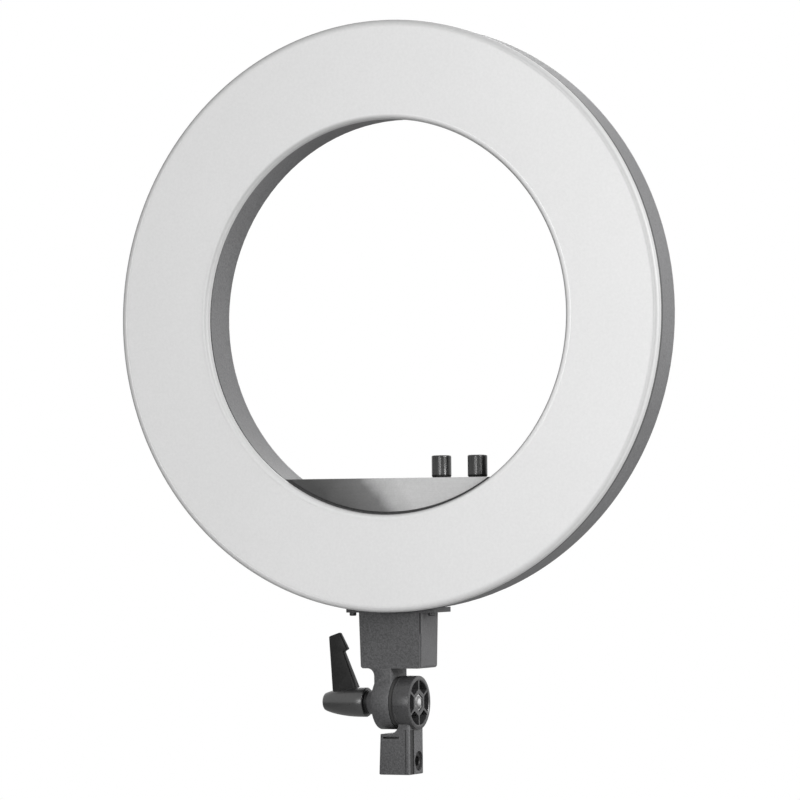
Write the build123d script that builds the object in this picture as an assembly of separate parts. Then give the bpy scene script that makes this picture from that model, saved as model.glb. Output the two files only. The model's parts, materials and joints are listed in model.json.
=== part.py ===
from build123d import *
from math import cos, radians, sin, sqrt
import os

# Head of a ring light on its tilting stand adapter, in millimetres.
# Origin: centre of the stand socket's mouth. +Z is up, the lit side faces -Y.

# Fits between pieces
running_gap = 0.3        # parts that turn or slide past each other
seat_gap = 0.2           # parts that are fitted together by hand
shaft_gap = 0.05         # radial, shaft in its hole
screw_gap = 0.1          # radial, screw in a clearance hole

# Stand adapter: block with the stand socket, neck and drum
block_half_width = 13.35
block_half_depth = 13.5
block_flare = 1.4        # the left face leans outwards by this much towards the foot
block_height = 33.0
socket_radius = 8.15
socket_depth = 27.0
corner_radius = 2.0
neck_width = 9.6
neck_root_radius = 9.0
drum_overhang = 3.05     # how far the drum stands out past the block's right side
drum_radius = 21.9
drum_width = 15.0
drum_rim = 3.5
drum_chamfer = 0.7
drum_pocket_depth = 9.0
spoke_count = 6
spoke_width = 1.6
hub_across_flats = 19.6
slit_height = 1.8
slit_depth = 5.0
slit_drop = 2.0
slit_side_land = 2.5
edge_groove_width = 1.3
edge_groove_depth = 0.9
edge_groove_inset = 3.0
side_band_width = 4.0
side_band_depth = 0.7

# Hole for the lock screw in the block's right side, lined by a threaded bush
lock_hole_radius = 8.0
lock_hole_height = 10.6
lock_hole_y = 4.7
lock_hole_depth = 4.8
lock_bush_recess = 1.6
lock_bush_chamfer = 0.5
lock_thread_radius = 4.0
lock_tip_radius = 4.5    # passage for the screw's tip, between the bush and the socket

# Pivot
ear_radius = 22.0
ear_headroom = 3.3
ear_width = 15.3
ear_chamfer = 0.8
ear_root_radius = 6.0
boss_radius = 10.0
boss_length = 9.6
friction_disc_width = 3.4
friction_disc_radius = 21.2
friction_disc_chamfer = 0.6
sleeve_wall = 1.8
bolt_radius = 4.0
bolt_head_flats = 13.0
bolt_head_height = 5.3
bolt_dome_height = 1.0
bolt_dome_root = 0.5
bolt_end_gap = 0.5

# Bracket between the ear and the ring
drum_headroom = 6.2
box_height = 45.4
box_top_width = 56.5
box_bottom_width = 53.6
box_wall = 3.2
box_corner_radius = 2.4
box_edge_radius = 1.2
bracket_front_y = -15.2
bracket_depth = 32.4
ear_setback = 1.5        # the ear's back face lies this far in front of the bracket's
bracket_x = -2.2
flange_half_width = 40.2
flange_web = 1.0
flange_screw_x = 35.4
flange_screw_y = -11.0
flange_screw_radius = 1.75
flange_screw_spare = 5.5
flange_screw_head_radius = 2.8
flange_screw_head_height = 2.7
backing_thickness = 3.0
backing_arc = 22.0
backing_front_y = -13.0
backing_width = 20.0

# Lamp ring
ring_centre_x = -0.8
ring_outer_radius = 240.0
ring_inner_radius = 162.4
shell_wall = 2.2
shoulder_y = -15.8
housing_depth = 33.8
outer_overhang = 0.8     # the cover stands out past the housing, outside and in the hole
inner_overhang = 1.6
shadow_gap = 4.4
diffuser_depth = 5.7
diffuser_wall = 2.2
diffuser_outer_corner = 4.5
diffuser_inner_corner = 4.2
outer_bead_inset = 4.2
inner_bead_inset = 4.6
bead_height = 0.4
rim_reach = 6.2
rim_step = 2.4
housing_outer_corner = 8.5
housing_inner_corner = 1.2
vent_count = 48
vent_length = 22.0
vent_width = 3.0

# Posts that the back screws pass through
post_count = 8
post_radius = 4.2
post_rim_gap = 0.7
post_joint_y = -15.5
post_hole_depth = 6.0
counterbore_radius = 3.2
counterbore_depth = 10.0
housing_screw_length = 18.0
housing_screw_radius = 1.5
screw_head_height = 2.0

# LED boards
board_count = 4
board_inner_gap = 5.6    # from the hole's wall
board_outer_gap = 1.3    # from the posts
board_thickness = 1.6
board_front_y = 0.4
board_gap_degrees = 1.2
board_screw_angles = (15.0, 45.0, 75.0)
board_boss_radius = 3.5
board_screw_radius = 1.2
board_screw_head_radius = 2.4
board_screw_length = 7.0
led_row_inset = 14.5
leds_per_row = 60
led_size = 3.4
led_height = 0.8
link_length = 12.0
link_width = 6.0
link_height = 2.4

# Control box in the bottom of the hole
control_box_height = 30.6
deck_thickness = 2.0
case_wall = 1.6
case_gap = 0.3
plate_thickness = 1.5
plate_edge_gap = 2.5
plate_setback = 0.1
panel_thickness = 1.8
panel_inset = 0.4
lead_hole_radius = 4.0
case_boss_radius = 2.8
case_boss_bite = 0.8
case_boss_low_x = 20.0
panel_screw_radius = 1.2
panel_screw_length = 8.0

# Dials on the deck
dial_end_gap = 20.9      # from the deck's right end to the nearer dial
dial_pitch = 32.0
dial_y = -5.0
pot_width = 9.5
pot_height = 5.0
pot_floor = 1.3
pot_case_gap = 1.0
pot_bush_radius = 3.5
pot_bush_height = 4.0
pot_nut_flats = 10.0
pot_nut_height = 1.8
pot_shaft_radius = 2.0
pot_shaft_height = 14.0
knob_radius = 8.0
knob_height = 17.4
knob_lift = 0.6
knob_flutes = 24
knob_flute_radius = 0.55
knob_foot_band = 2.0
knob_top_chamfer = 1.0
knob_nut_gap = 1.1
knob_skirt_recess = 4.4
knob_grip_gap = 0.02
pointer_width = 1.0
pointer_depth = 0.4

# Circuit board of the control box
control_board_half_width = 40.0
control_board_height = 13.5
control_board_drop = 5.2
spacer_radius = 2.0
spacer_length = 2.0
spacer_end_inset = 4.0
spacer_inset = 3.0
capacitor_radius = 4.0
capacitor_length = 7.5
capacitor_x = -24.0
choke_side = 8.0
choke_height = 6.0
choke_x = -11.0
plug_width = 10.0
plug_side = 5.5
plug_height = 5.0
plug_x = 16.0
regulator_side = 6.0
regulator_height = 1.6
regulator_x = 28.0

# Rear panel fittings
switch_x = 0.0
fitting_drop = 14.2      # below the deck
switch_width = 19.0
switch_height = 13.0
switch_depth = 14.0
switch_flange = 1.1
switch_flange_height = 1.5
rocker_width = 16.0
rocker_height = 10.0
rocker_edge = 4.2
rocker_waist = 2.8
rocker_keel = 3.0
rocker_tilt = 9.0
rocker_pin_radius = 1.2
rocker_pin_length = 1.0
rocker_well = 0.8
jack_x = 36.0
jack_radius = 4.0
jack_flange_radius = 5.5
jack_flange_height = 1.2
jack_length = 12.0
jack_bore_radius = 2.8
jack_bore_depth = 9.0
jack_pin_radius = 1.0
window_x = -36.0
window_drop = 10.7
window_width = 28.0
window_height = 10.0
window_thickness = 1.2
display_depth = 6.0
display_margin = 1.0

# Clamping lever, on the pivot's axis
washer_radius = 9.0
washer_thickness = 1.3
insert_flange_radius = 9.6
insert_flange_width = 1.5
insert_radius = 6.6
insert_length = 23.0
insert_end_wall = 10.0
lever_length = 38.5
lever_hub_radius = 12.15
lever_nose_radius = 6.5
lever_straight = 8.1
lever_rim_chamfer = 1.2
lever_start_gap = 0.3
lever_shoulder = 2.0
lever_bore_radius = 4.8
arm_foot_start = 7.3     # along the axis, from the hub's right end
arm_foot_width = 22.9
arm_foot_height = 7.6
arm_foot_thickness = 9.0
arm_height = 57.0
arm_tip_start = 24.3
arm_tip_width = 9.9
arm_tip_slope = 3.4
arm_tip_thickness = 4.6
arm_hook_reach = 7.0
arm_hook_drop = 13.7
arm_hook_step = 3.6
arm_hook_lift = 2.0
arm_corner_radius = 2.0
arm_edge_radius = 1.1
lever_screw_radius = 2.5
lever_screw_head_radius = 4.4
lever_screw_head_height = 3.5
lever_screw_end_gap = 1.0
lever_screw_key_depth = 2.5
spring_length = 8.2
spring_outer_radius = 4.3
spring_inner_radius = 3.3

# Places that follow from the sizes above
pivot_z = block_height + ear_radius + ear_headroom
box_bottom_z = pivot_z + drum_radius + drum_headroom
flange_bottom_z = box_bottom_z + box_height
ring_centre_z = flange_bottom_z + flange_web + seat_gap + ring_outer_radius
ring_centre = (ring_centre_x, 0.0, ring_centre_z)
diffuser_back_y = shoulder_y - shadow_gap
diffuser_front_y = diffuser_back_y - diffuser_depth
housing_back_y = shoulder_y + housing_depth
housing_floor_y = housing_back_y - shell_wall
board_back_y = board_front_y + board_thickness
cover_outer_radius = ring_outer_radius + outer_overhang
cover_inner_radius = ring_inner_radius - inner_overhang
post_circle = ring_outer_radius - rim_step - shell_wall - post_rim_gap - post_radius
board_inner_radius = ring_inner_radius + board_inner_gap
board_outer_radius = post_circle - post_radius - board_outer_gap
board_centre_radius = (board_inner_radius + board_outer_radius) / 2
bracket_back_y = bracket_front_y + bracket_depth
ear_back_y = bracket_back_y - ear_setback
case_front_y = shoulder_y - plate_setback
case_back_y = housing_back_y - panel_inset - panel_thickness
case_radius = ring_inner_radius - case_gap
deck_drop = ring_inner_radius - control_box_height
deck_half_width = sqrt(case_radius**2 - deck_drop**2)
colour_dial_x = deck_half_width - dial_end_gap
brightness_dial_x = colour_dial_x - dial_pitch
dial_x = (brightness_dial_x, colour_dial_x)
fitting_z = -deck_drop - fitting_drop
window_z = -deck_drop - window_drop
spacer_x = control_board_half_width - spacer_end_inset
drum_right_x = block_half_width + drum_overhang
drum_left_x = drum_right_x - drum_width
ear_right_x = drum_left_x - friction_disc_width
ear_left_x = ear_right_x - ear_width
boss_left_x = ear_left_x - boss_length
neck_left_x = block_half_width - neck_width
bolt_seat_x = drum_right_x - bolt_head_height - bolt_dome_height
washer_left_x = boss_left_x - washer_thickness
insert_left_x = washer_left_x - insert_length
lever_right_x = washer_left_x - insert_flange_width - lever_start_gap
lever_left_x = lever_right_x - lever_length


def block(x0, x1, y0, y1, z0, z1):
    centre = ((x0 + x1) / 2, (y0 + y1) / 2, (z0 + z1) / 2)
    return Pos(*centre) * Box(x1 - x0, y1 - y0, z1 - z0)


def rod_x(radius, x0, x1, y=0.0, z=0.0):
    return Pos((x0 + x1) / 2, y, z) * Rot(0, 90, 0) * Cylinder(radius, x1 - x0)


def rod_y(radius, y0, y1, x=0.0, z=0.0):
    return Pos(x, (y0 + y1) / 2, z) * Rot(90, 0, 0) * Cylinder(radius, y1 - y0)


def rod_z(radius, z0, z1, x=0.0, y=0.0):
    return Pos(x, y, (z0 + z1) / 2) * Cylinder(radius, z1 - z0)


def prism_x(face, x0, x1):
    return extrude(Plane.YZ.offset(x0) * face, amount=x1 - x0)


def prism_y(face, y0, y1):
    return extrude(Plane.XZ.offset(-y1) * face, amount=y1 - y0)


def hexagon(across_flats):
    return RegularPolygon(across_flats / 2, 6, major_radius=False, rotation=30)


def on_ring(shape, degrees=0.0):
    # A shape made along +X from the ring's axis is turned round it, counted from +X towards +Z.
    return Pos(*ring_centre) * Rot(0, -degrees, 0) * shape


def on_pivot(shape):
    return Pos(0, 0, pivot_z) * shape


def chord_piece(radius, top_drop, y0, y1):
    # The part of a disc that lies below a level line, measured from the ring's centre.
    cover = Pos(0, radius - top_drop) * Rectangle(4 * radius, 2 * radius)
    return prism_y(Circle(radius) - cover, y0, y1)


def save(name, shape):
    export_step(shape, f"parts/{name}.step")


def pan_head(radius, height):
    # A screw head that stands on the XY plane, with a cross recess in its top.
    head = fillet(Cylinder(radius, height).edges().sort_by(Axis.Z)[-1], height * 0.35)
    cross = Box(radius * 1.2, radius * 0.28, height) + Box(radius * 0.28, radius * 1.2, height)
    return Pos(0, 0, height / 2) * (head - Pos(0, 0, height * 0.55) * cross)


def screw(shank_radius, length, head_radius, head_height):
    # Head above the XY plane, shank below it.
    return pan_head(head_radius, head_height) + rod_z(shank_radius, -length, 0)


# Lamp ring

def front_diffuser():
    outer = cover_outer_radius
    inner = cover_inner_radius
    inside_y = diffuser_front_y + diffuser_wall
    outline = Polyline(
        (outer, diffuser_back_y),
        (outer, diffuser_front_y),
        (inner, diffuser_front_y),
        (inner, diffuser_back_y),
        (inner + diffuser_wall, diffuser_back_y),
        (inner + diffuser_wall, inside_y),
        (outer - diffuser_wall, inside_y),
        (outer - diffuser_wall, diffuser_back_y),
        close=True,
    )
    section = make_face(outline)
    front = section.vertices().group_by(Axis.Y)[0].sort_by(Axis.X)
    section = fillet(front[-1], diffuser_outer_corner)
    front = section.vertices().group_by(Axis.Y)[0].sort_by(Axis.X)
    section = fillet(front[0], diffuser_inner_corner)
    shell = revolve(section, Axis.Y)
    # The middle of the face lies a little deeper than its two borders.
    sunk = rod_y(outer - outer_bead_inset, diffuser_front_y - 1, diffuser_front_y + bead_height)
    sunk = sunk - rod_y(inner + inner_bead_inset, diffuser_front_y - 2, inside_y)
    shell = shell - sunk
    for index in range(post_count):
        post = rod_y(post_radius, inside_y, post_joint_y, post_circle)
        hole_y = post_joint_y - post_hole_depth
        post = post - rod_y(housing_screw_radius + shaft_gap, hole_y, post_joint_y, post_circle)
        shell = shell + Rot(0, -360 * (index + 0.5) / post_count, 0) * post
    return on_ring(shell)


def rear_housing():
    rim_front_y = shoulder_y - rim_reach
    outer = ring_outer_radius
    inner = ring_inner_radius
    rim_out = outer - rim_step
    rim_in = inner + rim_step
    outline = Polyline(
        (outer, shoulder_y),
        (outer, housing_back_y),
        (inner, housing_back_y),
        (inner, shoulder_y),
        (rim_in, shoulder_y),
        (rim_in, rim_front_y),
        (rim_in + shell_wall, rim_front_y),
        (rim_in + shell_wall, shoulder_y + rim_step),
        (inner + shell_wall, shoulder_y + rim_step),
        (inner + shell_wall, housing_floor_y),
        (outer - shell_wall, housing_floor_y),
        (outer - shell_wall, shoulder_y + rim_step),
        (rim_out - shell_wall, shoulder_y + rim_step),
        (rim_out - shell_wall, rim_front_y),
        (rim_out, rim_front_y),
        (rim_out, shoulder_y),
        close=True,
    )
    section = make_face(outline)
    back = section.vertices().group_by(Axis.Y)[-1].sort_by(Axis.X)
    section = fillet(back[-1], housing_outer_corner)
    back = section.vertices().group_by(Axis.Y)[-1].sort_by(Axis.X)
    section = fillet(back[0], housing_inner_corner)
    floor_corner = section.vertices().sort_by_distance((outer - shell_wall, housing_floor_y))[0]
    section = fillet(floor_corner, housing_outer_corner - shell_wall)
    shell = revolve(section, Axis.Y)
    solids = []
    for board in range(board_count):
        for angle in board_screw_angles:
            boss = rod_y(board_boss_radius, board_back_y, housing_floor_y, board_centre_radius)
            solids.append(Rot(0, -(360 * board / board_count + angle), 0) * boss)
    for index in range(post_count):
        post = rod_y(post_radius, post_joint_y, housing_floor_y, post_circle)
        solids.append(Rot(0, -360 * (index + 0.5) / post_count, 0) * post)
    shell = shell + solids
    cuts = []
    screw_end_y = board_front_y + board_screw_length + seat_gap
    for board in range(board_count):
        for angle in board_screw_angles:
            hole = rod_y(board_screw_radius + shaft_gap, board_back_y - 1, screw_end_y, board_centre_radius)
            cuts.append(Rot(0, -(360 * board / board_count + angle), 0) * hole)
    slot = prism_y(SlotOverall(vent_length, vent_width), housing_floor_y - 1, housing_back_y + 1)
    for index in range(vent_count):
        angle = 360 * (index + 0.5) / vent_count
        cuts.append(Rot(0, -angle, 0) * Pos(board_centre_radius, 0, 0) * slot)
    seat_y = housing_back_y - counterbore_depth
    for index in range(post_count):
        hole = rod_y(housing_screw_radius + screw_gap, post_joint_y - 1, housing_back_y, post_circle)
        hole = hole + rod_y(counterbore_radius, seat_y, housing_back_y + 1, post_circle)
        cuts.append(Rot(0, -360 * (index + 0.5) / post_count, 0) * hole)
    shell = shell - cuts
    shell = shell - rod_z(lead_hole_radius, -inner - 2 * shell_wall, -inner + shell_wall)
    shell = on_ring(shell)
    for x, y in flange_screw_places():
        low = flange_bottom_z
        shell = shell - rod_z(flange_screw_radius + screw_gap, low, low + flange_screw_reach(), x, y)
    return shell


def housing_screws():
    seat_y = housing_back_y - counterbore_depth
    one = screw(housing_screw_radius, housing_screw_length, counterbore_radius - seat_gap, screw_head_height)
    one = Pos(post_circle, seat_y, 0) * Rot(-90, 0, 0) * one
    angles = [360 * (index + 0.5) / post_count for index in range(post_count)]
    return [on_ring(one, angle) for angle in angles]


def led_board(index):
    section = Pos(board_centre_radius, board_front_y + board_thickness / 2)
    section = section * Rectangle(board_outer_radius - board_inner_radius, board_thickness)
    arc = 360 / board_count - board_gap_degrees
    board = revolve(section, Axis.Y, revolution_arc=arc)
    first = board_gap_degrees / 2
    board = Rot(0, -(first + arc), 0) * board
    holes = []
    for angle in board_screw_angles:
        hole = rod_y(board_screw_radius + screw_gap, board_front_y - 1, board_back_y + 1, board_centre_radius)
        holes.append(Rot(0, -angle, 0) * hole)
    return on_ring(board - holes, 360 * index / board_count)


def board_screws():
    one = screw(board_screw_radius, board_screw_length, board_screw_head_radius, screw_head_height)
    one = Pos(board_centre_radius, board_front_y, 0) * Rot(90, 0, 0) * one
    pieces = []
    for board in range(board_count):
        for angle in board_screw_angles:
            pieces.append(on_ring(one, 360 * board / board_count + angle))
    return pieces


def leds(first):
    # Warm and cool lamps take turns along each row.
    half = led_size / 2
    chip = block(-half, half, board_front_y - led_height, board_front_y, -half, half)
    rows = (board_inner_radius + led_row_inset, board_outer_radius - led_row_inset)
    pieces = []
    for row, radius in enumerate(rows):
        for index in range(leds_per_row):
            if (index + row) % 2 == first:
                pieces.append(on_ring(Pos(radius, 0, 0) * chip, 360 * (index + 0.5) / leds_per_row))
    return pieces


def board_links():
    # Small connectors that bridge the gaps between neighbouring boards, on their backs.
    link = block(-link_width / 2, link_width / 2, board_back_y, board_back_y + link_height,
                 -link_length / 2, link_length / 2)
    link = Pos(board_outer_radius - link_width, 0, 0) * link
    return [on_ring(link, 360 * index / board_count) for index in range(board_count - 1)]


def mount_backing_plate():
    middle_radius = ring_outer_radius - shell_wall - seat_gap - backing_thickness / 2
    section = Rectangle(backing_thickness, backing_width)
    section = Pos(middle_radius, backing_front_y + backing_width / 2) * section
    plate = revolve(section, Axis.Y, revolution_arc=backing_arc)
    plate = on_ring(Rot(0, 90 - backing_arc / 2, 0) * plate)
    for x, y in flange_screw_places():
        low = flange_bottom_z
        plate = plate - rod_z(flange_screw_radius + shaft_gap, low, low + 2 * flange_screw_reach(), x, y)
    return plate


# Control box

def case_boss_places():
    # Two bosses hang from the deck and two stand on the curved wall.
    lift = case_boss_radius - case_boss_bite
    high = -deck_drop - deck_thickness - lift
    low = lift - sqrt((case_radius - case_wall)**2 - case_boss_low_x**2)
    between_dials = (brightness_dial_x + colour_dial_x) / 2
    places = [(x, high) for x in (-between_dials, between_dials)]
    return places + [(x, low) for x in (-case_boss_low_x, case_boss_low_x)]


def control_case():
    case = chord_piece(case_radius, deck_drop, case_front_y, case_back_y)
    inside_drop = deck_drop + deck_thickness
    case = case - chord_piece(case_radius - case_wall, inside_drop, case_front_y - 1, case_back_y + 1)
    for x, z in case_boss_places():
        boss = rod_y(case_boss_radius, case_front_y, case_back_y, x, z)
        boss = boss & chord_piece(case_radius, deck_drop, case_front_y, case_back_y)
        case = case + boss
    for x, z in case_boss_places():
        hole_y = case_back_y - panel_screw_length
        case = case - rod_y(panel_screw_radius + shaft_gap, hole_y, case_back_y + 1, x, z)
    underside = -inside_drop
    for x in dial_x:
        case = case - rod_z(pot_bush_radius + shaft_gap, underside - 1, 1 - deck_drop, x, dial_y)
        half = pot_width / 2 + pot_case_gap
        case = case - block(x - half, x + half, dial_y - half, dial_y + half, -case_radius, underside)
    case = case - rod_z(lead_hole_radius, -case_radius - 1, -case_radius + 2 * case_wall)
    return on_ring(case)


def control_front_plate():
    front_y = case_front_y - plate_thickness
    return on_ring(chord_piece(case_radius - plate_edge_gap, deck_drop, front_y, case_front_y))


def control_rear_panel():
    panel = chord_piece(case_radius - seat_gap, deck_drop, case_back_y, case_back_y + panel_thickness)
    y0 = case_back_y - 1
    y1 = case_back_y + panel_thickness + 1
    half = switch_width / 2 + screw_gap
    tall = switch_height / 2 + screw_gap
    panel = panel - block(switch_x - half, switch_x + half, y0, y1, fitting_z - tall, fitting_z + tall)
    panel = panel - rod_y(jack_radius + screw_gap, y0, y1, jack_x, fitting_z)
    half = window_width / 2 + screw_gap
    tall = window_height / 2 + screw_gap
    panel = panel - block(window_x - half, window_x + half, y0, y1, window_z - tall, window_z + tall)
    for x, z in case_boss_places():
        panel = panel - rod_y(panel_screw_radius + screw_gap, y0, y1, x, z)
    return on_ring(panel)


def panel_screws():
    one = screw(panel_screw_radius, panel_screw_length, board_screw_head_radius, screw_head_height * 0.7)
    seat_y = case_back_y + panel_thickness
    return [on_ring(Pos(x, seat_y, z) * Rot(-90, 0, 0) * one) for x, z in case_boss_places()]


def control_board():
    top = -deck_drop - control_board_drop
    front_y = case_front_y + spacer_length
    half = control_board_half_width
    board = block(-half, half, front_y, front_y + board_thickness, top - control_board_height, top)
    return on_ring(board)


def spacer_places():
    top = -deck_drop - control_board_drop
    heights = (top - spacer_inset, top - control_board_height + spacer_inset)
    return [(x, z) for x in (-spacer_x, spacer_x) for z in heights]


def board_spacers():
    pieces = []
    for x, z in spacer_places():
        pieces.append(on_ring(rod_y(spacer_radius, case_front_y, case_front_y + spacer_length, x, z)))
    return pieces


def driver_parts():
    # Capacitor, choke, plug and regulator on the back of the circuit board.
    seat_y = case_front_y + spacer_length + board_thickness
    middle = -deck_drop - control_board_drop - control_board_height / 2
    pieces = [rod_y(capacitor_radius, seat_y, seat_y + capacitor_length, capacitor_x, middle)]
    for x, width, height, side in (
        (choke_x, choke_side, choke_height, choke_side),
        (plug_x, plug_width, plug_height, plug_side),
        (regulator_x, regulator_side, regulator_height, regulator_side),
    ):
        pieces.append(Pos(x, seat_y + height / 2, middle) * Box(width, height, side))
    return [on_ring(piece) for piece in pieces]


def pot(x):
    underside = -deck_drop - deck_thickness
    half = pot_width / 2
    body = block(x - half, x + half, dial_y - half, dial_y + half, underside - pot_height, underside)
    top = -deck_drop + pot_bush_height
    body = body + rod_z(pot_bush_radius, underside, top, x, dial_y)
    floor = underside - pot_height + pot_floor
    body = body - rod_z(pot_shaft_radius + shaft_gap, floor, top + 1, x, dial_y)
    return on_ring(body)


def pot_shaft(x):
    low = -deck_drop - deck_thickness - pot_height + pot_floor + seat_gap
    return on_ring(rod_z(pot_shaft_radius, low, -deck_drop + pot_shaft_height, x, dial_y))


def pot_nuts():
    pieces = []
    for x in dial_x:
        nut = extrude(hexagon(pot_nut_flats) - Circle(pot_bush_radius + shaft_gap), pot_nut_height)
        pieces.append(on_ring(Pos(x, dial_y, -deck_drop) * nut))
    return pieces


def knob(x):
    low = -deck_drop + knob_lift
    top = low + knob_height
    body = rod_z(knob_radius, low, top)
    body = chamfer(body.edges().group_by(Axis.Z)[-1], knob_top_chamfer)
    flutes = []
    for index in range(knob_flutes):
        angle = radians(360 * index / knob_flutes)
        place = (knob_radius * cos(angle), knob_radius * sin(angle))
        flutes.append(rod_z(knob_flute_radius, low + knob_foot_band, top + 1, *place))
    body = body - flutes
    body = body - rod_z(pot_nut_flats / 2 + knob_nut_gap, low - 1, low + knob_skirt_recess)
    body = body - rod_z(pot_shaft_radius + knob_grip_gap, low, -deck_drop + pot_shaft_height + seat_gap)
    half = pointer_width / 2
    pointer = block(-half, half, -knob_radius, -knob_radius / 3, top - pointer_depth, top + 1)
    return on_ring(Pos(x, dial_y, 0) * (body - pointer))


def power_switch_body():
    panel_y = case_back_y + panel_thickness
    half = switch_width / 2
    tall = switch_height / 2
    body = block(-half, half, panel_y - switch_depth, panel_y, -tall, tall)
    half += switch_flange
    tall += switch_flange
    body = body + block(-half, half, panel_y, panel_y + switch_flange_height, -tall, tall)
    half = rocker_width / 2 + rocker_well
    tall = rocker_height / 2 + seat_gap
    pivot_y = rocker_pivot_y()
    floor_y = pivot_y - rocker_keel - rocker_well
    body = body - block(-half, half, floor_y, panel_y + switch_flange_height + 1, -tall, tall)
    pin = rocker_height / 2 + rocker_pin_length + seat_gap
    body = body - rod_z(rocker_pin_radius + shaft_gap, -pin, pin, 0, pivot_y)
    return on_ring(Pos(switch_x, 0, fitting_z) * body)


def rocker_pivot_y():
    return case_back_y + panel_thickness + switch_flange_height - rocker_waist


def power_rocker():
    half = rocker_width / 2
    outline = Polyline(
        (-half, 0),
        (0, -rocker_keel),
        (half, 0),
        (half, rocker_edge),
        (0, rocker_waist),
        (-half, rocker_edge),
        close=True,
    )
    rocker = extrude(make_face(outline), rocker_height)
    rocker = Pos(0, 0, -rocker_height / 2) * rocker
    pin = rocker_height / 2 + rocker_pin_length
    rocker = rocker + rod_z(rocker_pin_radius, -pin, pin)
    rocker = Rot(0, 0, -rocker_tilt) * rocker
    return on_ring(Pos(switch_x, rocker_pivot_y(), fitting_z) * rocker)


def dc_jack():
    panel_y = case_back_y + panel_thickness
    body = rod_y(jack_radius, panel_y - jack_length, panel_y)
    body = body + rod_y(jack_flange_radius, panel_y, panel_y + jack_flange_height)
    outer_y = panel_y + jack_flange_height
    body = body - rod_y(jack_bore_radius, outer_y - jack_bore_depth, outer_y + 1)
    body = body + rod_y(jack_pin_radius, outer_y - jack_bore_depth, outer_y - 1)
    return on_ring(Pos(jack_x, 0, fitting_z) * body)


def display_window():
    half = window_width / 2
    tall = window_height / 2
    back_y = case_back_y + panel_thickness
    pane = block(-half, half, back_y - window_thickness, back_y, -tall, tall)
    return on_ring(Pos(window_x, 0, window_z) * pane)


def display_module():
    half = window_width / 2 - display_margin
    tall = window_height / 2 - display_margin
    back_y = case_back_y + panel_thickness - window_thickness
    module = block(-half, half, back_y - display_depth, back_y, -tall, tall)
    return on_ring(Pos(window_x, 0, window_z) * module)


# Bracket

def tilt_bracket():
    front = bracket_front_y
    back = bracket_back_y
    half_top = box_top_width / 2
    half_bottom = box_bottom_width / 2
    outline = Polyline(
        (bracket_x + half_bottom, box_bottom_z),
        (bracket_x - half_bottom, box_bottom_z),
        (bracket_x - half_top, flange_bottom_z),
        (bracket_x + half_top, flange_bottom_z),
        close=True,
    )
    box = make_face(outline)
    corners = box.vertices().group_by(Axis.Y)[0]
    box = prism_y(fillet(corners, box_corner_radius), front, back)
    bottom_edges = box.edges().filter_by(Axis.X).group_by(Axis.Z)[0]
    box = fillet(bottom_edges, box_edge_radius)
    flange_top = flange_bottom_z + box_height / 2
    half = flange_half_width
    flange = block(bracket_x - half, bracket_x + half, front, back, flange_bottom_z, flange_top)
    flange = fillet(flange.edges().filter_by(Axis.Z), corner_radius)
    bracket = box + flange
    bracket = bracket - Pos(*ring_centre) * rod_y(ring_outer_radius + seat_gap, front - 1, back + 1)
    half = half_bottom - box_wall
    low = box_bottom_z + box_wall
    hollow = block(bracket_x - half, bracket_x + half, front + box_wall, back - box_wall, low, flange_top + 1)
    right = bracket_x + half_bottom
    groove = block(right - edge_groove_width, right, front - 1, front + edge_groove_depth,
                   box_bottom_z - 1, flange_bottom_z)
    bracket = bracket - hollow - groove + neck_and_ear()
    bracket = bracket - rod_x(sleeve_radius(), boss_left_x - 1, ear_right_x + 1, 0, pivot_z)
    for x, y in flange_screw_places():
        bracket = bracket - rod_z(flange_screw_radius + screw_gap, flange_bottom_z - 1, flange_top, x, y)
    return bracket


def flange_screw_places():
    return [(bracket_x - flange_screw_x, flange_screw_y), (bracket_x + flange_screw_x, flange_screw_y)]


def flange_screw_reach():
    # The ring's curve lifts its wall and the backing plate above the flange, out at the screws.
    rise = ring_outer_radius - sqrt(ring_outer_radius**2 - (flange_screw_x - bracket_x)**2)
    return flange_web + rise + shell_wall + 2 * seat_gap + backing_thickness + flange_screw_spare


def sleeve_radius():
    return bolt_radius + shaft_gap + sleeve_wall


def neck_and_ear():
    front = bracket_front_y
    back = ear_back_y
    disc = rod_x(ear_radius, ear_left_x, ear_right_x, 0, pivot_z)
    disc = chamfer(disc.edges().filter_by(GeomType.CIRCLE), ear_chamfer)
    neck = block(ear_left_x, ear_right_x, front, back, pivot_z, box_bottom_z + box_wall)
    boss = rod_x(boss_radius, boss_left_x, ear_left_x, 0, pivot_z)
    boss = chamfer(boss.edges().filter_by(GeomType.CIRCLE).sort_by(Axis.X)[0], ear_chamfer)
    left = ear_left_x - ear_root_radius
    low = box_bottom_z - ear_root_radius
    corner = block(left, ear_left_x, front, back, low, box_bottom_z)
    corner = corner - rod_y(ear_root_radius, front - 1, back + 1, left, low)
    return disc + neck + boss + corner


def pivot_sleeve():
    sleeve = rod_x(sleeve_radius() - shaft_gap, boss_left_x, ear_right_x)
    return on_pivot(sleeve - rod_x(bolt_radius + shaft_gap, boss_left_x - 1, ear_right_x + 1))


def bracket_screws():
    one = screw(flange_screw_radius, flange_screw_reach(), flange_screw_head_radius, flange_screw_head_height)
    one = Rot(180, 0, 0) * one
    return [Pos(x, y, flange_bottom_z) * one for x, y in flange_screw_places()]


# Stand adapter

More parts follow.
